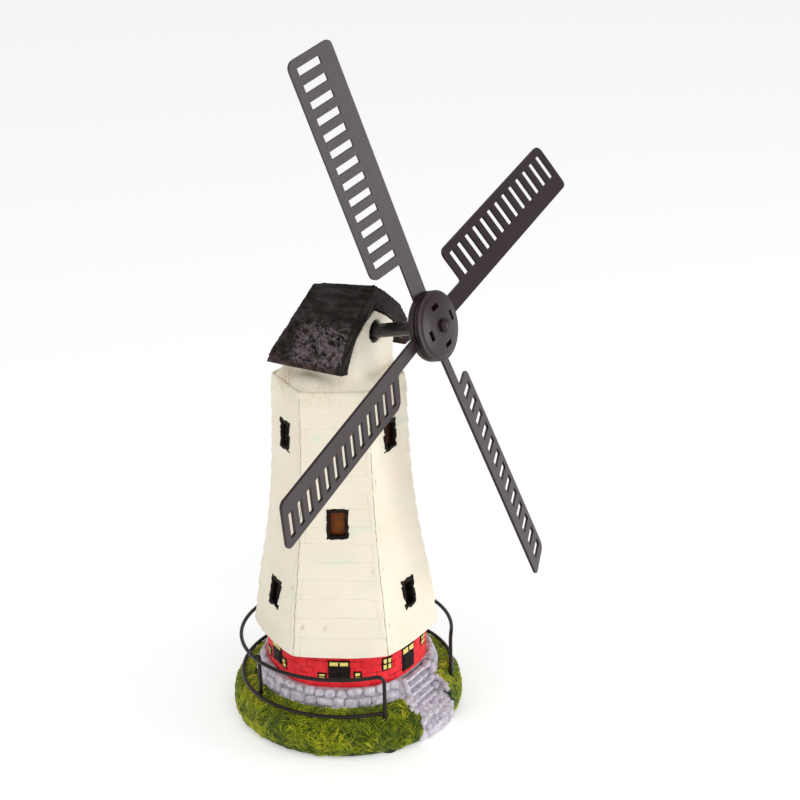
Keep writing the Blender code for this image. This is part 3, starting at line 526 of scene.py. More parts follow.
def grass_look():
    """shade runs from 0 in the hollows to 1 on the tips of the leaves."""
    look, tree, place = new_look("grass")
    speckle = cloud(place, 2.0, detail=5.0)
    level = math("ADD", attribute(tree, "shade"), grey_ramp(speckle, 0.3, 0.7, -0.1, 0.1))
    greens = ramp(level, [(0.0, srgb(28, 36, 16)), (0.25, srgb(58, 74, 28)), (0.5, srgb(108, 124, 32)),
                                (0.75, srgb(158, 166, 30)), (1.0, srgb(218, 208, 62))])
    patches = grey_ramp(cloud(place, 22.0, detail=2.0), 0.48, 0.66, 0.0, 0.5)
    colour = mix(patches, greens, srgb(72, 94, 48))
    return finish_look(look, colour, cloud(place, 1.1), 0.2, (0.42, 0.62), 0.3, patches=speckle)


def bark_look():
    """crest runs from 0 in the creases to 1 on the folds, where grey is painted on as a painted highlight."""
    look, tree, place = new_look("bark_roof")
    base = ramp(cloud(place, 7.0, detail=5.0),
                [(0.3, srgb(12, 6, 3)), (0.55, srgb(27, 17, 13)), (0.8, srgb(50, 36, 29))])
    # painted highlight: grey on the crests of the folds, broken up by fine noise
    highlight_breakup = grey_ramp(cloud(place, 1.3, detail=6.0, roughness=0.6), 0.36, 0.58, 0.2, 1.0)
    wear_and_highlight = math("MULTIPLY", attribute(tree, "crest"), highlight_breakup)
    colour = mix(wear_and_highlight, base, srgb(122, 110, 112))
    colour = mix(attribute(tree, "rim"), colour, srgb(74, 58, 48))
    fine = cloud(object_place(tree, (1, 0.7, 1.6)), 1.8, detail=6.0, roughness=0.65)
    return finish_look(look, colour, fine, 0.5, (0.36, 0.58), 0.14)


def amber_look():
    """Amber behind the middle windows, with painted shade making it darker behind the top ones and nearly black
    behind the lowest.
    """
    look, _, place = new_look("amber_film")
    amber = ramp(cloud(place, 9.0, detail=2.0), [(0.3, srgb(104, 50, 5)), (0.7, srgb(134, 72, 10))])
    height = height_of(place)
    # painted shade: nearly black below the middle windows and darker above them
    colour = mix(grey_ramp(height, 0.122, 0.148, 1.0, 0.0), amber, srgb(20, 10, 5))
    colour = mix(grey_ramp(height, 0.185, 0.205, 0.0, 0.8), colour, srgb(24, 13, 8))
    return finish_look(look, colour, cloud(place, 5.0), 0.05, 0.5, 0.2)


# Plain finishes: two colours, roughness and options
PLAIN_LOOKS = {
    "rotor_plastic": ((40, 26, 28), (46, 32, 34), 0.38, dict(grain=0.8, patch=30.0, depth=0.02, specular=0.32)),
    "black_wire": ((16, 10, 8), (28, 20, 17), 0.3, dict(grain=0.9, patch=6.0, depth=0.06, specular=0.3)),
    "bright_steel": ((150, 150, 150), (190, 190, 188), 0.32, dict(grain=0.6, depth=0.02, metallic=1.0)),
    "black_plastic": ((14, 13, 12), (22, 20, 19), 0.5, dict(grain=0.6, depth=0.03, specular=0.25)),
    "white_plastic": ((220, 220, 214), (232, 232, 228), 0.45, dict(depth=0.02)),
    "black_rubber": ((34, 27, 24), (50, 41, 37), 0.82, dict(grain=0.7, depth=0.08)),
    "board_laminate": ((18, 84, 48), (26, 104, 60), 0.35, dict(patch=4.0)),
    "clear_resin": ((224, 216, 190), (240, 234, 214), 0.12, dict(depth=0.01)),
    "battery_wrap": ((40, 120, 84), (52, 140, 98), 0.3, dict(patch=20.0, depth=0.01)),
    "lead_jacket": ((24, 24, 24), (34, 34, 34), 0.6, dict(depth=0.03)),
    "painted_panes": ((226, 200, 90), (250, 232, 140), 0.45, dict(patch=3.0, depth=0.08)),
    "satin_sleeve": ((24, 20, 18), (33, 28, 26), 0.28, dict(grain=3.0, depth=0.004, specular=0.6)),
}


def make_looks():
    """One material for each of the record's slots, and two more for the small panes and the sleeve."""
    looks = {
        "grass": grass_look(), "stonework": stone_look(), "brickwork": brick_look(),
        "cream_boards": cream_look(), "dark_frames": frame_look(), "amber_film": amber_look(),
        "bark_roof": bark_look(), "solar_glass": solar_look(),
    }
    for name, (dark, light, roughness, options) in PLAIN_LOOKS.items():
        looks[name] = plain_look(name, dark, light, roughness, **options)
    return looks


def solar_look():
    look, tree, place = new_look("solar_glass")
    cells = {"Vector": place, "Scale": 1.0, "Mortar Size": 0.00025, "Brick Width": 0.012, "Row Height": 0.006,
             "Color1": srgb(12, 20, 52), "Color2": srgb(16, 26, 62), "Mortar": srgb(130, 136, 150)}
    colour = add_node(tree, "ShaderNodeTexBrick", cells, offset=0.0).outputs["Color"]
    return finish_look(look, colour, cloud(place, 3.0), 0.02, 0.12)


# ---------------------------------------------------------------- tower boards and windows

BOARD_COUNT = 15
BOARD_TALLEST, BOARD_SHORTEST = 14.2, 10.6
# Share of the board's height, distance out
BOARD_SECTION = [(0.0, 0.12), (0.0, 0.7), (0.04, 0.86), (0.12, 0.84), (0.3, 0.68), (0.5, 0.51), (0.7, 0.36),
                 (0.86, 0.25), (0.96, 0.18)]
# Above the boards: height, distance out
COLLAR = [(0.0, 0.22), (1.2, 0.16), (2.4, 0.0), (3.6, -0.3), (4.2, -0.8)]
SKIRT_BULGE, BULGE_TOP = 3.6, 130.0
SHELL_THICKNESS = 3.3
SEAM_WIDTH, SECOND_SEAM_WIDTH = 0.009, 0.012      # as shares of a face
# Shares across one face, with extra columns beside the corner line
FACE_SHARES = np.sort(np.concatenate([np.linspace(-1, 1, 72, endpoint=False), [-0.992, -0.98, 0.98, 0.992]]))
# Nail heads: face, share across it, board
NAILS = ((0, -0.86, 1), (0, -0.85, 4), (0, -0.84, 9), (-1, -0.8, 1), (-1, 0.83, 4), (-1, -0.3, 1),
         (1, 0.8, 2), (2, -0.82, 5), (3, 0.84, 1), (3, -0.8, 8), (4, 0.82, 3), (1, -0.84, 7))


def corner_profile(node):
    """(height, corner radius) levels of a hexagonal node's outside, from its own points."""
    corners = [place for place in node_points(node) if abs((bearing_of(place) + 60) % 60 - 30) < 0.5]
    ordered = level_peaks(corners)
    return [level for level, after in zip(ordered, ordered[1:] + [(0, 0)]) if level[1] > after[1] - 0.01]


def hexagon_places(radius, outset, share, face, z):
    """Points on a hexagon's faces: share runs from -1 to 1 across a face; outset may include a bulge."""
    bearing = np.radians(face * 60.0)
    reach = radius * FLAT + outset
    across = share * (radius + outset / FLAT) / 2
    return np.stack(np.broadcast_arrays(reach * np.sin(bearing) + across * np.cos(bearing),
                                        -reach * np.cos(bearing) + across * np.sin(bearing), z), -1)


def skirt_bulge(z, bottom, share=0.0):
    """How far the lower boards swell out from the flat face."""
    return SKIRT_BULGE * np.clip((BULGE_TOP - z) / (BULGE_TOP - bottom), 0, 1) ** 1.5 * (1 - share ** 2)


def make_tower():
    """Lapped boards with a collar on top, a seam at each corner, and a hollow inside."""
    profile = corner_profile("tower_shell")
    heights, radii = zip(*profile)
    bottom, top = heights[0], heights[-1]
    share = np.tile(FACE_SHARES, 6)
    face = np.repeat(np.arange(6), len(FACE_SHARES))
    angle = np.radians(face * 60.0) + share * radians(30)
    sizes = np.linspace(BOARD_TALLEST, BOARD_SHORTEST, BOARD_COUNT)
    edges = bottom + np.concatenate([[0], np.cumsum(sizes)]) * (top - bottom) / sizes.sum()
    circle = np.stack([np.cos(angle), np.sin(angle), np.zeros_like(angle)], -1) * 60
    wander = []
    for k in range(BOARD_COUNT + 1):
        level = circle + (0, 0, 40.0 * k)
        wander.append(0.75 * noise(level, 26.0, seed=k) + 0.3 * noise(level, 7.0, seed=50 + k))
    wander[0] = wander[0] * 0.3
    wander[-1] = wander[-1] * 0
    rows, lips, joints = [], [], []
    corner = np.exp(-((1 - np.abs(share)) / SEAM_WIDTH) ** 2)
    rounding = -0.35 * smoothstep(np.abs(share), 0.955, 1.0)
    for k in range(BOARD_COUNT):
        low, high = edges[k] + wander[k], edges[k + 1] + wander[k + 1]
        lift = 1 + 0.25 * noise(circle + (0, 0, 90.0 * k), 22.0, seed=90 + k)
        beside = np.where((share > 0) ^ (k % 3 == 0), np.abs(np.abs(share) - (0.84 + 0.03 * (k % 2))), 1.0)
        second = np.exp(-(beside / SECOND_SEAM_WIDTH) ** 2)
        for fraction, out in BOARD_SECTION:
            z = low + (high - low) * fraction
            radius = np.interp(z, heights, radii)
            places = hexagon_places(radius, 0, share, face, z)
            rough = 0.14 * noise(places, 9.0, seed=7) + 0.05 * noise(places, 2.6, seed=8)
            groove = -0.3 * corner - 0.12 * second
            outset = out * lift + skirt_bulge(z, bottom, share) + rough + rounding + groove
            rows.append(hexagon_places(radius, outset, share, face, z))
            lips.append(np.full(len(share), 0.62 if fraction == 0 and out < 0.5 else 0.0))
            joints.append(np.clip(corner * 0.95 + 0.2 * second, 0, 1))
    for above, out in COLLAR:
        outset = out - 0.5 * smoothstep(np.abs(share), 0.93, 1.0)
        rows.append(hexagon_places(radii[-1], outset, share, face, top + above))
    ceiling = bottom + SHELL_THICKNESS
    soffit_radius = min(hypot(x, y) for x, y, z in node_points("tower_shell") if z < bottom + 0.1)
    inner = [(top, radii[-1]), *reversed(profile[1:-1]), (ceiling, radii[0])]
    inner = [(z, radius - SHELL_THICKNESS / FLAT) for z, radius in inner]
    for z, radius in inner + [(ceiling, soffit_radius), (bottom, soffit_radius)]:
        rows.append(hexagon_places(radius, 0, share, face, z))
    verts = np.concatenate(rows)
    blank = np.zeros(len(verts) - len(share) * len(lips))
    lips, joints = np.concatenate(lips + [blank]), np.concatenate(joints + [blank])
    for nail in nail_marks(edges, heights, radii):
        near = np.linalg.norm(verts - nail, axis=1)
        joints = np.maximum(joints, 0.6 * np.exp(-(near / 1.0) ** 2))
        inward = np.array((nail[0], nail[1], 0)) / hypot(nail[0], nail[1])
        verts = verts - inward * (0.35 * np.exp(-(near / 0.7) ** 2))[:, None]
    tower = mesh_object("tower_boards", verts, ring_faces(len(rows), len(share), closed=True), sharp=48,
                        lip=lips, joint=joints)
    cut_windows(tower)
    return tower


def nail_marks(edges, heights, radii):
    """Points on the boards where a nail head shows."""
    marks = []
    for face, share, board in NAILS:
        z = edges[board] + 0.55 * (edges[board + 1] - edges[board])
        outset = 0.6 + skirt_bulge(z, heights[0], share)
        marks.append(hexagon_places(np.interp(z, heights, radii), outset, share, face, z))
    return marks


def window_axes(node):
    """Centre, across, up and out directions of a window frame node."""
    points = node_points(node)
    centre = (points.min(0) + points.max(0)) / 2
    bearing = radians(60 * round(bearing_of(centre) / 60))
    across = np.array((cos(bearing), sin(bearing), 0))
    spread = points - centre
    spread = spread - np.outer(spread @ across, across)
    _, _, axes = np.linalg.svd(spread, full_matrices=False)
    up = axes[0] * np.sign(axes[0][2])
    return centre, across, up, np.cross(across, up)


def window_nodes():
    return sorted(name for name in frame["nodes"] if name.startswith("window_frame"))


def cut_windows(tower):
    """Opens the boards behind every window frame."""
    cutters = Pile()
    for node in window_nodes():
        centre, *axes = window_axes(node)
        cutters.add(box_corners(centre, axes, (-6.6, 6.6), (-9.7, 9.7), (-9, 9)), BOX_FACES)
    apply_boolean(tower, cutters.make("window_cutter", smooth=False))


def apply_boolean(target, cutter):
    step = target.modifiers.new("cut", "BOOLEAN")
    step.operation = "DIFFERENCE"
    step.solver = "EXACT"
    step.object = cutter
    apply_modifiers(target)
    bpy.data.objects.remove(cutter, do_unlink=True)


FRAME_BAR = 2.9
FRAME_COLUMNS = (26, 36)      # along the sill and up the side
# The bar's section: share of its width, distance out from the boards, and how much it is roughened
FRAME_SECTION = [(0.0, -0.3, 0.7), (0.12, 0.35, 1), (0.3, 0.6, 1), (0.55, 0.7, 1), (0.8, 0.45, 1),
                 (0.95, 0.1, 0.9), (1.0, -0.5, 0.7)]


def make_window(node, number):
    """A rough-carved frame: a lumpy section carried round a rectangle."""
    centre, across, up, out = window_axes(node)
    points = node_points(node) - centre
    wide, tall, depth = (np.abs(points @ axis).max() for axis in (across, up, out))
    lift = 1.0 + skirt_bulge(centre[2], levels_of("tower_shell")[0])
    path = []
    corners = [(1, -1), (1, 1), (-1, 1), (-1, -1)]
    for side, ((x0, y0), (x1, y1)) in enumerate(zip(corners, corners[1:] + corners[:1])):
        count = FRAME_COLUMNS[1 - side % 2]
        path += [(x0 + (x1 - x0) * k / count, y0 + (y1 - y0) * k / count) for k in range(count)]
    path = np.array(path)
    section = [(0.0, -depth, 0.15)] + [(inward, lift + above, rough) for inward, above, rough in FRAME_SECTION]
    section.append((1.0, -depth, 0.15))
    rows = []
    for inward, height, _ in section:
        x, y = path[:, 0] * (wide - FRAME_BAR * inward), path[:, 1] * (tall - FRAME_BAR * inward)
        rows.append(np.outer(x, across) + np.outer(y, up) + out * height + centre)
    verts = np.concatenate(rows)
    rough = np.repeat([row[2] for row in section], len(path))[:, None]
    shove, fine = jitter(verts, 3.2, 101 + number * 3), jitter(verts, 1.1, 201 + number * 3)
    chips = np.sign(jitter(verts, 2.3, 301 + number * 3))
    verts = verts + (0.6 * shove + 0.22 * fine + 0.14 * chips) * rough
    faces = ring_faces(len(section), len(path), closed=True)
    return mesh_object(f"carved_frame_{number}", verts, faces, sharp=60)


# ---------------------------------------------------------------- brick storey

BRICK_LENGTH, BRICK_HEIGHT, MORTAR = 10.0, 5.2, 0.42
STOREY_ROUND, STOREY_RIPPLE = 57.4, 0.8
STOREY_COLUMNS, STOREY_ROWS, STOREY_INSIDE = 1080, 80, 52.5
# Rows and columns of panes, and their share of the opening's height
DOOR_PANES, TWO_PANES, FOUR_PANES = (1, 2, 0.26), (2, 1, 1), (2, 2, 1)
PANE_MARGIN, PANE_GAP = 1.15, 1.05
# Openings in relief: bearing, width, bottom, top, panes
STOREY_OPENINGS = [
    (-61.4, 15.6, 48.6, 64.6, DOOR_PANES), (-73.8, 6.4, 48.3, 54.6, TWO_PANES),
    (-48.4, 5.8, 48.0, 55.6, TWO_PANES), (-26.6, 8.4, 53.0, 63.2, FOUR_PANES),
    (-5.6, 14.4, 45.6, 64.5, DOOR_PANES), (15.6, 7.4, 55.0, 63.6, FOUR_PANES),
    (-117.4, 14.6, 49.6, 64.5, DOOR_PANES), (-131.6, 6.8, 48.2, 55.0, FOUR_PANES),
    (-106.6, 5.6, 49.2, 57.2, TWO_PANES), (58.6, 15.0, 47.6, 64.5, DOOR_PANES),
    (46.0, 6.2, 48.4, 55.4, TWO_PANES), (71.2, 6.2, 48.4, 55.4, TWO_PANES), (96.0, 8.0, 53.4, 63.4, FOUR_PANES),
    (121.0, 14.6, 47.6, 64.5, DOOR_PANES), (146.0, 7.4, 54.0, 63.0, FOUR_PANES),
    (178.0, 15.4, 48.0, 64.5, DOOR_PANES), (190.6, 6.2, 48.4, 55.0, TWO_PANES),
    (165.4, 6.2, 48.4, 55.0, TWO_PANES),
]


def storey_radius(angle):
    return STOREY_ROUND + STOREY_RIPPLE * np.cos(6 * (angle - radians(30)))


def round_points(radius, angle, z):
    """Points at a radius, a bearing in radians and a height."""
    return np.stack(np.broadcast_arrays(radius * np.sin(angle), -radius * np.cos(angle), z), -1)


def make_storey():
    """Brick courses with mortar joints in relief, drawn on a ring that ripples with the tower's corners."""
    low, high = levels_of("brick_storey")
    angle = np.arange(STOREY_COLUMNS) * 2 * pi / STOREY_COLUMNS
    girth = 2 * pi * STOREY_ROUND
    lengths = round(girth / BRICK_LENGTH)
    along = angle / (2 * pi) * lengths
    grid, joints = [], []
    for z in np.linspace(low, high, STOREY_ROWS):
        base = np.stack([np.cos(angle) * STOREY_ROUND, np.sin(angle) * STOREY_ROUND,
                         np.full(STOREY_COLUMNS, z)], -1)
        level = (z - low + 0.3 * noise(base, 9.0, seed=31)) / BRICK_HEIGHT
        course = np.floor(level)
        across = (along + 0.5 * (course % 2) + 0.12 * noise(base, 6.0, seed=32)) % 1
        bed = np.minimum(level - course, course + 1 - level) * BRICK_HEIGHT
        end = np.minimum(across, 1 - across) * girth / lengths
        gap = 1 - smoothstep(np.minimum(bed, end), MORTAR * 0.2, MORTAR)
        lump = 0.3 * noise(base, 5.0, seed=33) + 0.14 * noise(base, 1.8, seed=34)
        grid.append(round_points(storey_radius(angle) + lump * (1 - gap) - 0.5 * gap, angle, z))
        joints.append(gap * np.clip(0.6 + 0.6 * noise(base, 7.0, seed=35), 0, 1))
    for z in (high, low):
        grid.append(round_points(STOREY_INSIDE, angle, z))
        joints.append(np.zeros(STOREY_COLUMNS))
    return mesh_object("brick_wall", np.concatenate(grid), ring_faces(len(grid), STOREY_COLUMNS, closed=True),
                       sharp=60, joint=np.concatenate(joints))


def slab(bearing, width, low, high, out, depth, seed, steps=(8, 10)):
    """A rough, slightly rounded block set into the brick wall, curved with it."""
    across, tall = steps
    i, j = np.meshgrid(np.arange(across + 1), np.arange(tall + 1))
    verts = []
    for shrink, reach in ((0.0, -depth), (0.0, out - 0.25), (0.3, out)):
        x = (i / across - 0.5) * (width - 2 * shrink)
        z = low + shrink + (high - low - 2 * shrink) * j / tall
        angle = radians(bearing) + x / STOREY_ROUND
        verts.append(round_points(storey_radius(angle) + reach, angle, z).reshape(-1, 3))
    verts = np.concatenate(verts)
    verts = verts + jitter(verts, 2.2, seed) * 0.26

    def index(layer, i, j):
        return (layer * (tall + 1) + j) * (across + 1) + i

    faces = []
    for j, i in itertools.product(range(tall), range(across)):
        faces.append((index(2, i, j), index(2, i + 1, j), index(2, i + 1, j + 1), index(2, i, j + 1)))
        faces.append((index(0, i, j), index(0, i, j + 1), index(0, i + 1, j + 1), index(0, i + 1, j)))
    rim = [(i, 0) for i in range(across)] + [(across, j) for j in range(tall)]
    rim += [(i, tall) for i in range(across, 0, -1)] + [(0, j) for j in range(tall, 0, -1)]
    for layer, (start, end) in itertools.product((0, 1), zip(rim, rim[1:] + rim[:1])):
        faces.append((index(layer, *start), index(layer, *end),
                      index(layer + 1, *end), index(layer + 1, *start)))
    used = np.unique(np.array(faces))
    return verts[used], np.searchsorted(used, np.array(faces)).tolist()


def make_openings():
    """Dark doors and window surrounds in relief, and their yellow panes."""
    dark, panes = Pile(), Pile()
    for number, (bearing, width, low, high, (rows, columns, share)) in enumerate(STOREY_OPENINGS):
        dark.add(*slab(bearing, width, low, high, 0.55, 1.5, 400 + 7 * number), 0.0)
        top = high - PANE_MARGIN
        foot = low + PANE_MARGIN if share == 1 else high - (high - low) * share
        step_x = (width - 2 * PANE_MARGIN + PANE_GAP) / columns
        step_z = (top - foot + PANE_GAP) / rows
        for row, column in itertools.product(range(rows), range(columns)):
            centre = -width / 2 + PANE_MARGIN + step_x * column + (step_x - PANE_GAP) / 2
            place = bearing + degrees(centre / STOREY_ROUND)
            base = foot + step_z * row
            panes.add(*slab(place, step_x - PANE_GAP, base, base + step_z - PANE_GAP, 0.85, 0.3,
                            900 + 13 * number + 3 * row + column, steps=(4, 4)), 0.0)
        if share < 1:
            sill = low + (high - low) * (1 - share)
            dark.add(*slab(bearing, width - 3.4, low + 0.8, sill - 1.2, 0.95, 0.6, 1500 + number), 1.0)
    return dark, panes


# ---------------------------------------------------------------- stones

def boulder(centre, axes, sizes, seed, detail=3, boxy=2.6):
    """A rounded stone: a sphere pushed towards a box and dented with noise."""
    bm = bmesh.new()
    bmesh.ops.create_icosphere(bm, subdivisions=detail, radius=1.0)
    ball = np.array([vert.co for vert in bm.verts])
    faces = [[vert.index for vert in face.verts] for face in bm.faces]
    bm.free()
    ball = ball / (np.abs(ball) ** boxy).sum(1)[:, None] ** (1 / boxy)
    ball = ball * (1 + 0.13 * noise(ball + seed * 7.3, 0.9, seed))[:, None]
    shaped = ball * np.array(sizes) / 2
    return centre + shaped @ np.array(axes), faces


def level_peaks(points):
    """(height, largest radius) of a set of points, from the lowest level up."""
    levels = {}
    for x, y, z in points:
        key = round(z, 1)
        levels[key] = max(levels.get(key, 0), hypot(x, y))
    return sorted(levels.items())


# Cobbles of the foundation: level of each row, and the length, height and lean of its stones
STONE_ROWS = [(29.6, 7.4, 5.6, 8), (34.6, 9.6, 7.6, 14), (41.0, 9.2, 6.6, 36)]
STONE_DEPTH, STONE_GAP = 5.0, 0.5
STONES_END = 367      # the bearing at which a row has come round to its start


def in_path(x, y, margin):
    """True where the steps and path lie, from the steps' own outline seen from above."""
    return edge_at(0, y) - margin < x < edge_at(1, y) + margin and y < 0


def path_edges():
    """Back and front corners of each side of the steps, from the node's own points."""
    points = node_points("steps_and_path")
    back = points[:, 1].max()
    rear = points[points[:, 1] > back - 0.5]
    left, right = rear[:, 0].min(), rear[:, 0].max()
    sides = []
    for start, sign in ((left, -1), (right, 1)):
        flank = points[np.sign(points[:, 0]) == sign]
        front = flank[np.argmax(-flank[:, 1] + 0.8 * sign * flank[:, 0])]
        sides.append(((start, back), (front[0], front[1])))
    return sides


PATH_EDGES = path_edges()
LOWEST_TREAD = 16     # the path lies below this level


def edge_at(side, y):
    """x of the steps' left (0) or right (1) edge at a distance y."""
    (x0, y0), (x1, y1) = PATH_EDGES[side]
    return x0 + (x1 - x0) * (y - y0) / (y1 - y0)


def make_foundation():
    """A sunk mortar bed with rounded cobbles in three uneven rows."""
    heights, radii = zip(*level_peaks(node_points("stone_foundation")))
    pile = Pile()
    bed = recast("stone_foundation", "mortar_bed", 1.2)
    relief(bed, lambda p, n: -1.1 + 1.7 * smoothstep(n[:, 2], 0.5, 0.9) + 0.5 * noise(p, 5.0, seed=61))
    places, normals = points_and_normals(bed.data)
    # painted light: the bed is painted paler where it faces up than on its sloping sides
    pile.add(places, [tuple(face.vertices) for face in bed.data.polygons],
             0.62 - 0.3 * smoothstep(normals[:, 2], 0.5, 0.9))
    bpy.data.objects.remove(bed, do_unlink=True)
    number = 0
    for height, length, tall, lean in STONE_ROWS:
        bearing = RNG.uniform(0, 8)
        while True:
            wide = length * RNG.uniform(0.72, 1.3)
            step = degrees((wide + STONE_GAP) / np.interp(height, heights, radii))
            if bearing + step > STONES_END:
                break
            number += 1
            at = bearing + step / 2
            bearing += step
            lift = height + shake(0.9)
            out = bearing_point(cos(radians(lean)), at, sin(radians(lean)))
            along = bearing_point(1, at + 90, 0)
            up = np.cross(along, out)
            centre = bearing_point(np.interp(lift, heights, radii) - STONE_DEPTH / 2 + 0.7, at, lift)
            if in_path(centre[0], centre[1], 2.0):
                continue
            sizes = (wide, tall * RNG.uniform(0.8, 1.14), STONE_DEPTH)
            verts, faces = boulder(centre, (along, up, out), sizes, number, boxy=RNG.uniform(2.5, 3.4))
            pile.add(verts, faces, RNG.uniform(0.0, 0.22))
    return pile.make("cobble_ring")


def make_steps():
    """The flight with treads painted paler than the risers under them, as painted light from above."""
    flight = recast("steps_and_path", "worn_steps", 0.55)
    relief(flight, lambda p, n: 0.3 * noise(p, 4.5, seed=71) + 0.14 * noise(p, 1.7, seed=72))
    places, normals = points_and_normals(flight.data)
    # painted light: faces that look up get a lower shade, so the treads are painted paler and the risers darker
    flat = smoothstep(normals[:, 2], 0.35, 0.8)
    mark(flight.data, "shade", np.clip(0.62 - 0.5 * flat + 0.25 * noise(places, 3.0, seed=73), 0, 1))
    return flight


def surface_tree(name):
    mesh = frame["nodes"][name].data
    points = [Vector(p) for p in node_points(name)]
    return BVHTree.FromPolygons(points, [tuple(face.vertices) for face in mesh.polygons])


def below(tree, x, y):
    """Where a line straight down meets a surface, and the surface's direction there."""
    hit, normal, _, _ = tree.ray_cast(Vector((x, y, 100)), Vector((0, 0, -1)))
    return hit, normal


def treads():
    """(height, front edge) of each tread, from the node's own points."""
    fronts = {}
    for _, y, z in node_points("steps_and_path"):
        if z > LOWEST_TREAD:
            level = round(z, 1)
            fronts[level] = min(fronts.get(level, 0), y)
    return sorted(fronts.items(), reverse=True)


def left_cheek(tree):
    """A line down the left edge of the flight, from the landing to the path's end."""
    zs, ys = zip(*treads())
    route = []
    for y in np.linspace(max(ys) + 2.0, min(ys) - 12.0, 34):
        x = edge_at(0, y) + 1.6
        z = np.interp(-y, -np.array(ys), zs)
        hit, _ = below(tree, x, y)
        if y < min(ys) and hit is not None:
            z = hit.z
        route.append((x, y, z + 0.6))
    route = np.array(route)
    for _ in range(3):
        route[1:-1] = (route[:-2] + 2 * route[1:-1] + route[2:]) / 4
    return route


def stony_bank(tree, ground, side):
    """A line down the gap between one edge of the steps and the grass, halfway between their heights."""
    route = []
    outward_by = 2 * side - 1
    for y in np.linspace(-54.0, -72.0, 19):
        x = edge_at(side, y) + (1.4 if side else -2.2)
        grassy, _ = below(ground, x + 3.4 * outward_by, y)
        paved, _ = below(tree, x - 4.6 * outward_by, y)
        heights = [hit.z for hit in (grassy, paved) if hit is not None]
        if heights:
            route.append((x, y, sum(heights) / len(heights) - 2.6))
    return np.array(route)


def make_path_stones():
    """Treads, a smooth left cheek, stony banks and cobbles beside the flight, and pebbles on the path."""
    tree = surface_tree("steps_and_path")
    ground = surface_tree("ground_mound")
    pile = Pile()
    for number, (z, front) in enumerate(treads()):
        left, right = edge_at(0, front) + 3.6, edge_at(1, front) - 6.5
        centre = np.array(((left + right) / 2, front + 1.0, z - 0.3))
        sizes = (right - left, 3.6, 2.2)
        verts, faces = boulder(centre, np.eye(3), sizes, 480 + number, detail=4, boxy=9.0)
        pile.add(verts + 0.2 * jitter(verts, 2.4, 460), faces, 0.0)
    cheek = left_cheek(tree)
    verts, faces = swept(cheek, 2.3 + 0.3 * np.sin(np.arange(len(cheek)) * 1.3), 12)
    pile.add(verts + 0.35 * jitter(verts, 3.0, 470), faces, 0.05)
    number = 0
    for side in (0, 1):
        bank = stony_bank(tree, ground, side)
        verts, faces = swept(bank, 3.2, 12)
        pile.add(verts + 0.5 * jitter(verts, 3.0, 474), faces, 0.4)
        for place in bank[1:-1:3]:
            number += 1
            sizes = (RNG.uniform(4.6, 5.8), RNG.uniform(4.6, 5.6), 4.4)
            verts, faces = boulder(place + (shake(0.8), 0, 1.9), np.eye(3), sizes, 430 + number)
            pile.add(verts, faces, RNG.uniform(0.0, 0.3))

    def drop(x, y, size, flat, sink, surface=tree):
        nonlocal number
        number += 1
        hit, normal = below(surface, x, y)
        if hit is None:
            return
        out = unit(np.array(normal) * 0.6 + np.array((0, 0, 0.4)))
        along = unit(np.cross((0, 1, 0), out))
        up = np.cross(out, along)
        sizes = (size * RNG.uniform(0.9, 1.25), size * RNG.uniform(0.9, 1.1), flat)
        verts, faces = boulder(np.array(hit) - out * sink, (along, up, out), sizes, 500 + number)
        pile.add(verts, faces, RNG.uniform(0.0, 0.35))

    for y in np.arange(-56.5, -77.0, -4.4):
        left, right = edge_at(0, y), edge_at(1, y)
        drop(right - 0.9, y + shake(0.5), 4.8, 5.0, 0.4)
        drop(right + 0.4, y + shake(0.5), 4.4, 4.6, 1.2, ground)
        drop(right + 0.3, y - 2.2 + shake(0.5), 4.0, 4.4, 1.3, ground)
        if y > -71:
            drop(right - 2.2 + shake(0.4), y - 1.2, 6.2, 5.4, 0.2)
            drop(right - 5.6, y - 2.2 + shake(0.4), 4.6, 4.0, 0.4)
        drop(left - 1.6, y + shake(0.5), RNG.uniform(4.2, 6.2), 5.0, 0.6, ground)
        if y > -70:
            drop(left - 5.2, y - 1.8 + shake(0.5), RNG.uniform(4.2, 5.6), 4.6, 0.8, ground)
    for y in np.arange(-71.5, -81.0, -4.3):
        for x in np.arange(edge_at(0, y) + 2.5, edge_at(1, y) - 1.5, 5.0):
            size = RNG.uniform(4.0, 5.8)
            drop(x + shake(0.8), y + shake(0.8), size, 3.0, 0.5)
    for y in np.arange(-58.0, -80.0, -3.0):
        drop(edge_at(1, y) - 1.2, y, RNG.uniform(3.4, 4.8), 4.0, 0.2)
    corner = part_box("steps_and_path")[0]
    rim = -corner.y / MM
    for x in np.arange(corner.x / MM + 2.5, edge_at(1, -rim) - 1.0, 5.2):
        number += 1
        outward_by = bearing_of((x, -np.sqrt(rim ** 2 - x ** 2)))
        centre = bearing_point(rim - 1.4, outward_by, 5.6 + shake(0.5))
        along = bearing_point(1, outward_by + 90, 0)
        out = bearing_point(1, outward_by, 0)
        verts, faces = boulder(centre, (along, np.cross(along, out) * -1, out), (6.4, 9.0, 4.4), 500 + number)
        pile.add(verts, faces, RNG.uniform(0.0, 0.3))
    return pile.make("path_cobbles")


# ---------------------------------------------------------------- grassy mound

TUFT_SPACING = 10.0
LEAVES_PER_TUFT, LEAF_POINTS = 9, 6
TUFT_CORE = (62.0, 13.0)      # radius and height that the mound's outside is seen from
GRASS_INNER_EDGE = 66.6


def make_mound():
    mound = recast("ground_mound", "mound_earth", 1.4)

    def height(p, n):
        outside = smoothstep(np.hypot(p[:, 0], p[:, 1]), 63.5, 67.0) * smoothstep(p[:, 2], 1.5, 5.0)
        return outside * (0.7 * noise(p, 9.0, seed=81) + 0.45 * (1 - 2 * np.abs(noise(p, 4.0, seed=82))) - 0.7)

    relief(mound, height)
    places, _ = points_and_normals(mound.data)
    mark(mound.data, "shade", np.clip(0.1 + 0.14 * noise(places, 5.0, seed=83), 0, 1))
    return mound


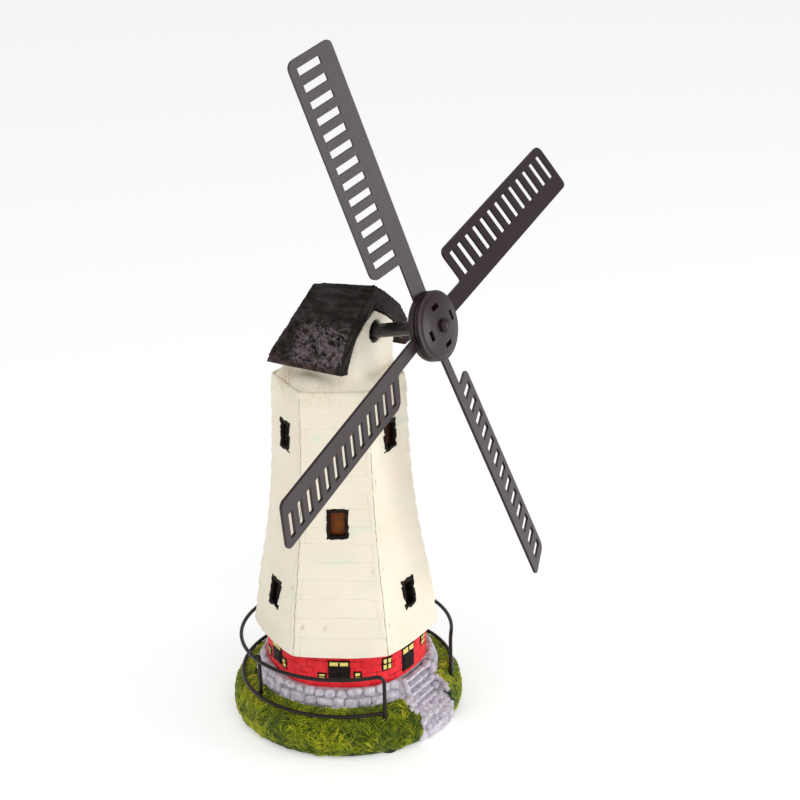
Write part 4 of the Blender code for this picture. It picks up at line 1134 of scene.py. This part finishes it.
def leaf(points, normals, width, height):
    """A ridged leaf lying along surface points: a triangular section that tapers to both ends."""
    points, normals = np.asarray(points), np.asarray(normals)
    count = len(points)
    sides = unit(np.cross(unit(np.gradient(points, axis=0)), normals))
    t = np.linspace(0, 1, count)
    wide = width * np.clip(np.sin(pi * (0.12 + 0.86 * t)) ** 0.7, 0.05, 1)
    tall = height * (0.25 + 0.9 * np.sin(pi * np.clip(t * 0.9 + 0.06, 0, 1)))
    left = points + sides * wide[:, None] / 2 - normals * 0.5
    right = points - sides * wide[:, None] / 2 - normals * 0.5
    crest = points + normals * tall[:, None]
    verts = np.stack([left, crest, right], 1).reshape(-1, 3)
    faces = []
    for k in range(count - 1):
        a, b = 3 * k, 3 * k + 3
        faces += [(a, b, b + 1, a + 1), (a + 1, b + 1, b + 2, a + 2), (a + 2, b + 2, b, a)]
    faces += [(0, 1, 2), (3 * count - 1, 3 * count - 2, 3 * count - 3)]
    along = np.repeat(t, 3)
    ridge = np.tile([0.0, 1.0, 0.0], count)
    return verts, faces, along, ridge


def bare(x, y, margin):
    """True on the steps, the path and the stony strip to their left, where no grass grows."""
    return in_path(x, y, margin) or (y > -70.5 and 0 <= edge_at(0, y) - x < 6.0)


def make_grass():
    """Tufts of curved leaves spread over the mound's outside."""
    tree = surface_tree("ground_mound")
    pile = Pile()
    low, _ = levels_of("ground_mound")
    core, level = TUFT_CORE
    for ring, slope in enumerate(np.arange(-32, 88, 9.5)):
        count = int(2 * pi * (core + 18.0 * cos(radians(slope))) / TUFT_SPACING)
        for k in range(count):
            bearing = 360 / count * (k + 0.5 * (ring % 2) + shake(0.3))
            tilt = radians(slope + shake(3))
            start = Vector(bearing_point(core + 60 * cos(tilt), bearing, level + 60 * sin(tilt)))
            aim = Vector(bearing_point(core, bearing, level)) - start
            hit, normal, _, _ = tree.ray_cast(start, aim.normalized())
            if hit is None or hit.z < low + 1.0:
                continue
            if hypot(hit.x, hit.y) >= GRASS_INNER_EDGE and not bare(hit.x, hit.y, 0.6):
                tuft(pile, tree, hit, normal)
    return pile.make("grass_leaves", sharp=70)


def tuft(pile, tree, base, normal):
    """A fan of leaves that start at one point and follow the surface upwards."""
    out = Vector(bearing_point(1, bearing_of(base), 0))
    up = (Vector((0, 0, 1)) - out * 0.25)
    up = (up - normal * up.dot(normal)).normalized()
    side = normal.cross(up)
    fan, lean, mood = RNG.uniform(45, 78), shake(40), RNG.uniform(-0.28, 0.2)
    for number in range(LEAVES_PER_TUFT):
        spread = 2 * number / (LEAVES_PER_TUFT - 1) - 1
        heading = radians(lean + fan * spread + shake(7))
        length = RNG.uniform(9.5, 16.0) * (1 - 0.25 * abs(spread))
        curl = radians(30) * spread + radians(shake(12))
        points, normals = [], []
        place = Vector(base) - up * 1.5
        for step in range(LEAF_POINTS):
            turn = heading + curl * step / (LEAF_POINTS - 1)
            place = place + (up * cos(turn) + side * sin(turn)) * length / (LEAF_POINTS - 1)
            place, facing, _, _ = tree.find_nearest(place)
            if place is None:
                return
            points.append(np.array(place))
            normals.append(np.array(facing))
        if min(points[0][2], points[-1][2]) < 2.0 or bare(points[-1][0], points[-1][1], -0.8):
            continue
        verts, faces, along, ridge = leaf(points, normals, RNG.uniform(2.0, 3.2), RNG.uniform(0.9, 2.0))
        tone = np.clip(mood + 0.42 * along + 0.5 * ridge + RNG.uniform(-0.08, 0.16), 0, 1)
        pile.add(verts, faces, tone)


# ---------------------------------------------------------------- cap and roof

def make_cap():
    """The cap house with a shoulder that slopes up to its walls."""
    cap = recast("cap_house", "cap_casting", 1.0)
    low, high = levels_of("cap_house")
    points = node_points("cap_house")
    walls = points[points[:, 2] > low + 20]
    side, front, back = walls[:, 0].max(), walls[:, 1].min(), walls[:, 1].max()

    bearings = np.radians(np.arange(6) * 60.0)

    def reach(p):
        """How far out each point lies, measured across the hexagon's nearest face."""
        return (p[:, :1] * np.sin(bearings) - p[:, 1:2] * np.cos(bearings)).max(1)

    rim = reach(points).max()

    def slope(p, n):
        across = np.maximum(np.abs(p[:, 0]) - side, 0)
        along = np.maximum(front - p[:, 1], 0) + np.maximum(p[:, 1] - back, 0)
        ledge = smoothstep(n[:, 2], 0.3, 0.8) * (1 - smoothstep(p[:, 2], low + 9.0, low + 10.0))
        rise = np.minimum(12.0 - 0.9 * np.hypot(across, along), 1.1 * (rim - reach(p) - 1.5))
        return ledge * np.clip(rise, 0, 12)

    relief(cap, slope)
    relaxed(cap, lambda p: (p[:, 2] > low + 1.4) & (p[:, 2] < low + 0.5 * (high - low)), 60)
    relaxed(cap, lambda p: (p[:, 2] > low + 0.8) & (p[:, 0] < -12) & (p[:, 2] < low + 0.3 * (high - low)), 40)

    def rough(p, n):
        shown = smoothstep(p[:, 2], low + 1.0, low + 4.0)
        return shown * (0.1 + 0.22 * noise(p, 9.0, seed=91) + 0.08 * noise(p, 2.6, seed=92)) - 0.25 * (1 - shown)

    relief(cap, rough)
    for name in ("joint", "lip"):
        mark(cap.data, name, np.zeros(len(cap.data.vertices)))
    return cap


def make_roof():
    """Bark-like covering: smoother and streaked near the ridge, wrinkled like leather lower down."""
    roof = recast("roof", "bark_covering", 0.75)
    low, high = levels_of("roof")
    centre = node_points("solar_panel_bezel").mean(0)

    def away_from_panel(p):
        return np.linalg.norm((p - centre) * (1, 0.75, 1), axis=1)

    relaxed(roof, lambda p: away_from_panel(p) > 24.0, 5)
    p, n = points_and_normals(roof.data)
    rise = (p[:, 2] - low) / (high - low) + 0.06 * noise(p, 14.0, seed=94)
    shown = smoothstep(n[:, 2] + 0.35 * np.abs(n[:, 0]), -0.25, 0.1)
    shown = shown * smoothstep(away_from_panel(p), 19.0, 25.0)
    warped = p + 2.6 * jitter(p, 7.0, 96)
    folds = 1 - 2.4 * np.abs(noise(warped, 3.4, seed=97))
    creases = 1 - 2.4 * np.abs(noise(warped, 1.9, seed=98))
    streaks = 1 - 2.2 * np.abs(noise(p, (5.0, 16.0, 2.4), seed=99))
    front = smoothstep(np.abs(n[:, 1]), 0.6, 0.9)
    eave = 1 - smoothstep(p[:, 2] + 0.8 * noise(p, 6.0, seed=93), low + 4.6, low + 6.6)
    grain = np.stack([p[:, 2] + 0.85 * np.abs(p[:, 0]), p[:, 1], np.abs(p[:, 0])], -1)
    grooves = 1 - 2.2 * np.abs(noise(grain, (2.2, 9.0, 22.0), seed=100))
    lower = (1 - smoothstep(rise, 0.48, 0.72)) * (1 - front) * (1 - eave)
    middle = 1 - 0.8 * smoothstep(p[:, 1] + 3 * noise(p, 8.0, seed=101), 3.0, 11.0)
    bark = lower * (0.7 * folds + 0.45 * creases) + (1 - lower) * (1 - front) * 0.4 * streaks
    bark = bark + front * 0.5 * grooves + 0.5 * noise(p, 13.0, seed=95)
    # painted highlight: crest marks the grey painted on the folds of the lower roof, mostly on its -Y half, and a
    # faint one on the upper streaks
    wear_and_highlight = lower * middle * np.clip(0.25 + 0.5 * folds + 0.6 * creases, 0, 1)
    wear_and_highlight = wear_and_highlight + (1 - lower) * np.clip(0.4 * bark, 0, 0.25)
    mark(roof.data, "crest", np.clip(wear_and_highlight * (1 - 0.8 * front) * (1 - 0.6 * eave), 0, 1))
    mark(roof.data, "rim", eave * (1 - front) * np.clip(0.3 + 0.8 * noise(p, 3.6, seed=102), 0, 0.8))
    return relief(roof, lambda points, normals: (bark * 1.05 - 0.35) * (0.25 + 0.75 * shown))


# ---------------------------------------------------------------- rotor

ROTOR = next(joint for joint in frame["joints"] if joint["name"] == "rotor_spin")


def rotor_frame():
    """Rotor's directions as columns, Z forward along the shaft and X to the right, and its centre."""
    forward = Vector(ROTOR["axis"]).normalized()
    across = Vector((1, 0, 0))
    axes = Matrix((across, forward.cross(across), forward)).transposed()
    return np.array(axes), np.array(Vector(ROTOR["pos_m"]) / MM)


ROTOR_AXES, ROTOR_CENTRE = rotor_frame()
SHAFT_BORE, BUSH_BORE = 2.3, 5.2
HUB_SHARP = 50                # edges sharper than this many degrees aren't smoothed
SLOT_RADIUS, SLOT_BEARING = 13.9, 14.5      # of the first of the hub cover's four slots


def from_rotor(points):
    return np.array(points) @ ROTOR_AXES.T + ROTOR_CENTRE


def in_rotor(node):
    """A node's points in the rotor's frame."""
    return (node_points(node) - ROTOR_CENTRE) @ ROTOR_AXES


def rotor_extent(node):
    """Largest radius, lowest and highest point of a node along the shaft."""
    local = in_rotor(node)
    return np.hypot(local[:, 0], local[:, 1]).max(), local[:, 2].min(), local[:, 2].max()


def rotor_piece(name, profile, bevel, sides=96, closed=True):
    verts, faces = turned(softened(profile, bevel, closed), sides, closed)
    return mesh_object(name, from_rotor(verts), faces, sharp=HUB_SHARP)


def cut_boxes(hub, name, boxes):
    """Cuts boxes, given in the rotor's frame, out of a part of the hub."""
    pile = Pile()
    for corners in boxes:
        pile.add(from_rotor(corners), BOX_FACES)
    cutter = pile.make(name, smooth=False)
    outward(cutter)
    apply_boolean(hub, cutter)
    hub.data.set_sharp_from_angle(angle=radians(HUB_SHARP))


def make_hub_back():
    radius, low, high = rotor_extent("hub_back")
    profile = [(SHAFT_BORE, low), (radius - 2.5, low), (radius, low + 2.2), (radius, high), (SHAFT_BORE, high)]
    hub = rotor_piece("hub_back_shell", profile, 1.0)
    cut_roots(hub)
    return hub


def make_hub_cover():
    """A shallow cone with a grooved rim and four dark slots."""
    radius, low, high = rotor_extent("hub_cover")
    rim = 6.6
    profile = [(SHAFT_BORE, low), (radius - 1.0, low), (radius - 1.0, low + 0.7), (radius, low + 0.9),
               (radius, low + 1.9), (radius - 0.7, low + 2.1), (radius - 0.7, low + 2.5), (radius, low + 2.8),
               (radius, rim - 0.1), (radius - 0.3, rim + 0.15), (radius - 1.8, rim + 0.35), (20.0, 8.0),
               (14.0, 9.4), (8.0, 10.2), (SHAFT_BORE, high)]
    cover = rotor_piece("hub_cover_shell", profile, 0.25)
    cut_roots(cover)
    boxes = []
    for number in range(4):
        turn = radians(SLOT_BEARING + 90 * number)
        axes = np.array(((cos(turn), sin(turn), 0), (-sin(turn), cos(turn), 0), (0, 0, 1)))
        boxes.append(box_corners(axes[0] * SLOT_RADIUS, axes, (-1.7, 1.7), (-3.7, 3.7), (low + 0.8, 20)))
    cut_boxes(cover, "slot_cutter", boxes)
    return cover


def cut_roots(hub):
    """Leaves room for the blade roots, from the blades' own points near the hub."""
    boxes = []
    for number in range(1, 5):
        local = in_rotor(f"blade_{number}")
        near = local[np.argsort(np.hypot(local[:, 0], local[:, 1]))[:4]]
        centre = near.mean(0)
        _, _, (wide, thin, _) = np.linalg.svd(near - centre, full_matrices=False)
        along = np.cross(wide, thin)
        along *= np.sign(along @ centre)
        half_wide, half_thin = (np.abs((near - centre) @ axis).max() + 0.25 for axis in (wide, thin))
        boxes.append(box_corners(centre, (along, wide, thin), (-0.5, 20), (-half_wide, half_wide),
                                 (-half_thin, half_thin)))
    cut_boxes(hub, "root_cutter", boxes)


def outward(piece):
    """Turns a piece's faces outwards."""
    bm = bmesh.new()
    bm.from_mesh(piece.data)
    bmesh.ops.recalc_face_normals(bm, faces=bm.faces)
    bm.to_mesh(piece.data)
    bm.free()


def make_hub_cap():
    radius, low, high = rotor_extent("hub_cap")
    profile = [(0.0, low), (radius, low), (radius, high - 2.8), (radius - 0.4, high - 1.5),
               (radius - 1.3, high - 0.5), (radius - 2.6, high - 0.05), (0.0, high)]
    return rotor_piece("hub_button", profile, 0.5, closed=False)


def make_sleeve():
    radius, low, high = rotor_extent("spacer_sleeve")
    profile = [(SHAFT_BORE, low), (radius, low), (radius, high - 3.5), (radius + 0.9, high - 3.2),
               (radius + 0.9, high), (SHAFT_BORE, high)]
    return rotor_piece("sleeve_tube", profile, 0.4, sides=64)


def make_bush():
    radius, low, high = rotor_extent("front_bush")
    front = high - 3.0
    profile = [(BUSH_BORE, low), (radius, low), (radius, front), (BUSH_BORE, front)]
    return rotor_piece("bush_ring", profile, 0.6, sides=64)


# ---------------------------------------------------------------- railing

WIRE_SHARE = 0.92     # the drawn wire is a little thinner than its stock size
RAIL_BEND = 6.0


def rail_facts():
    """Feet of the two legs, the wire's radius, and the heights of the legs' ends and of the upper wire."""
    points = node_points("upper_rail")
    low = points[:, 2].min()
    legs = []
    for side in (-1, 1):
        foot = points[(points[:, 2] < low + 0.5) & (np.sign(points[:, 0]) == side)]
        legs.append(foot.mean(0))
    wire = (np.hypot(points[:, 0], points[:, 1]).max() - np.hypot(*legs[0][:2])) * WIRE_SHARE
    return legs, wire, low, points[:, 2].max() - wire


def make_rails():
    """The upper wire with its two legs, and the lower wire between them."""
    legs, wire, low, height = rail_facts()
    radius = float(np.hypot(*legs[0][:2]))
    start, end = bearing_of(legs[0]), bearing_of(legs[1])
    length = radians(360 - (end - start)) * radius
    lower_height = sum(levels_of("lower_rail")) / 2

    def path_of(route):
        return np.array([bearing_point(radius, start - degrees(along / radius), z) for along, z in route])

    corner = [(RAIL_BEND * (1 - cos(a)), height - RAIL_BEND * (1 - sin(a))) for a in np.linspace(0, pi / 2, 9)]
    upright = [(0, z) for z in np.linspace(low, height - RAIL_BEND, 12, endpoint=False)]
    route = upright + corner
    route += [(RAIL_BEND + (length - 2 * RAIL_BEND) * k / 180, height) for k in range(1, 180)]
    route += [(length - s, z) for s, z in reversed(upright + corner)]
    path = path_of(route)
    top = mesh_object("upper_wire", *swept(path + jitter(path, 45.0, 111) * 0.25, wire, 16))
    path = path_of([(s, lower_height + 0.25 * sin(s / 31)) for s in np.linspace(wire, length - wire, 190)])
    bottom = mesh_object("lower_wire", *swept(path, wire, 16))
    return top, bottom, wire, lower_height, height, legs


def blob(centre, size, seed):
    """A lump of weld where two wires meet."""
    return boulder(np.asarray(centre), np.eye(3), (size, size, size), seed, boxy=2.0)


def make_posts_and_welds(wire, lower_height, height, legs):
    posts, welds = [], Pile()
    seed = itertools.count(701)
    for name in sorted(n for n in frame["nodes"] if n.startswith("rail_post")):
        x, y, _ = np.array([tuple(corner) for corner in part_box(name)]).mean(0) / MM
        path = np.array([(x, y, z) for z in np.linspace(*levels_of(name), 24)])
        path[:, :2] += 0.15 * jitter(path, 20.0, 5)[:, :2]
        radii = np.full(len(path), wire)
        radii[-1] = wire * 0.6
        posts.append((mesh_object(f"wire_{name}", *swept(path, radii, 14)), name))
        aside = bearing_point(wire + 0.1, bearing_of((x, y)), 0)
        for z in (lower_height, height):
            welds.add(*blob((x, y, z) + aside, 2.6 * wire, next(seed)))
    for x, y, _ in legs:
        welds.add(*blob((x, y, lower_height), 2.7 * wire, next(seed)))
    return posts, welds.make("weld_lumps")


# ---------------------------------------------------------------- the rest

# Bevel widths of CAD nodes
BEVELLED = {"base_cover": 0.35, "battery_door": 0.3, "battery_box": 0.35, "switch_body": 0.3, "switch_knob": 0.3,
            "circuit_board": 0.15, "solar_panel_bezel": 0.35, "solar_cell": 0.15, "rear_bearing_bar": 0.5,
            "shaft_nut": 0.25, "rotor_shaft": 0.3, "rechargeable_cell": 0.3}
BEVELLED_GROUPS = {"blade": 0.35, "rubber_foot": 0.3, "cover_screw": 0.3}


def dress_cad_nodes(looks):
    """Materials for every CAD node that still shows, and softened edges where they would be sharp."""
    slots = {part["node"]: part["material_slot"] for part in frame["record"]["subparts"]}
    for name, node in frame["nodes"].items():
        give(node, looks[slots[name]])
        width = BEVELLED.get(name, BEVELLED_GROUPS.get(name.rsplit("_", 1)[0]))
        if width:
            edge = node.modifiers.new("Bevel", "BEVEL")
            edge.width = width * MM
            edge.segments = 2
            edge.limit_method = "ANGLE"
            edge.angle_limit = radians(40)


def main():
    looks = make_looks()
    make_camera()
    make_studio()
    dress_cad_nodes(looks)

    def place(piece, slot, *nodes, look=None, body="tower"):
        place_piece(piece, looks[look or slot], slot, *nodes, body=body)

    place(make_tower(), "cream_boards", "tower_shell")
    for number, node in enumerate(window_nodes(), 1):
        place(make_window(node, number), "dark_frames", node)
    place(make_storey(), "brickwork", "brick_storey")
    dark, panes = make_openings()
    place(dark.make("storey_doors", sharp=50), "dark_frames")
    place(panes.make("storey_panes", sharp=50), "dark_frames", look="painted_panes")
    place(make_foundation(), "stonework", "stone_foundation")
    place(make_steps(), "stonework", "steps_and_path")
    place(make_path_stones(), "stonework")
    place(make_mound(), "grass", "ground_mound")
    place(make_grass(), "grass")
    place(make_cap(), "cream_boards", "cap_house")
    place(make_roof(), "bark_roof", "roof")
    place(make_hub_back(), "rotor_plastic", "hub_back", body="rotor")
    place(make_hub_cover(), "rotor_plastic", "hub_cover", body="rotor")
    place(make_hub_cap(), "rotor_plastic", "hub_cap", body="rotor")
    place(make_sleeve(), "rotor_plastic", "spacer_sleeve", look="satin_sleeve", body="rotor")
    place(make_bush(), "black_plastic", "front_bush")
    top, bottom, wire, lower_height, height, legs = make_rails()
    place(top, "black_wire", "upper_rail")
    place(bottom, "black_wire", "lower_rail")
    posts, welds = make_posts_and_welds(wire, lower_height, height, legs)
    for post, node in posts:
        place(post, "black_wire", node)
    place(welds, "black_wire")


main()
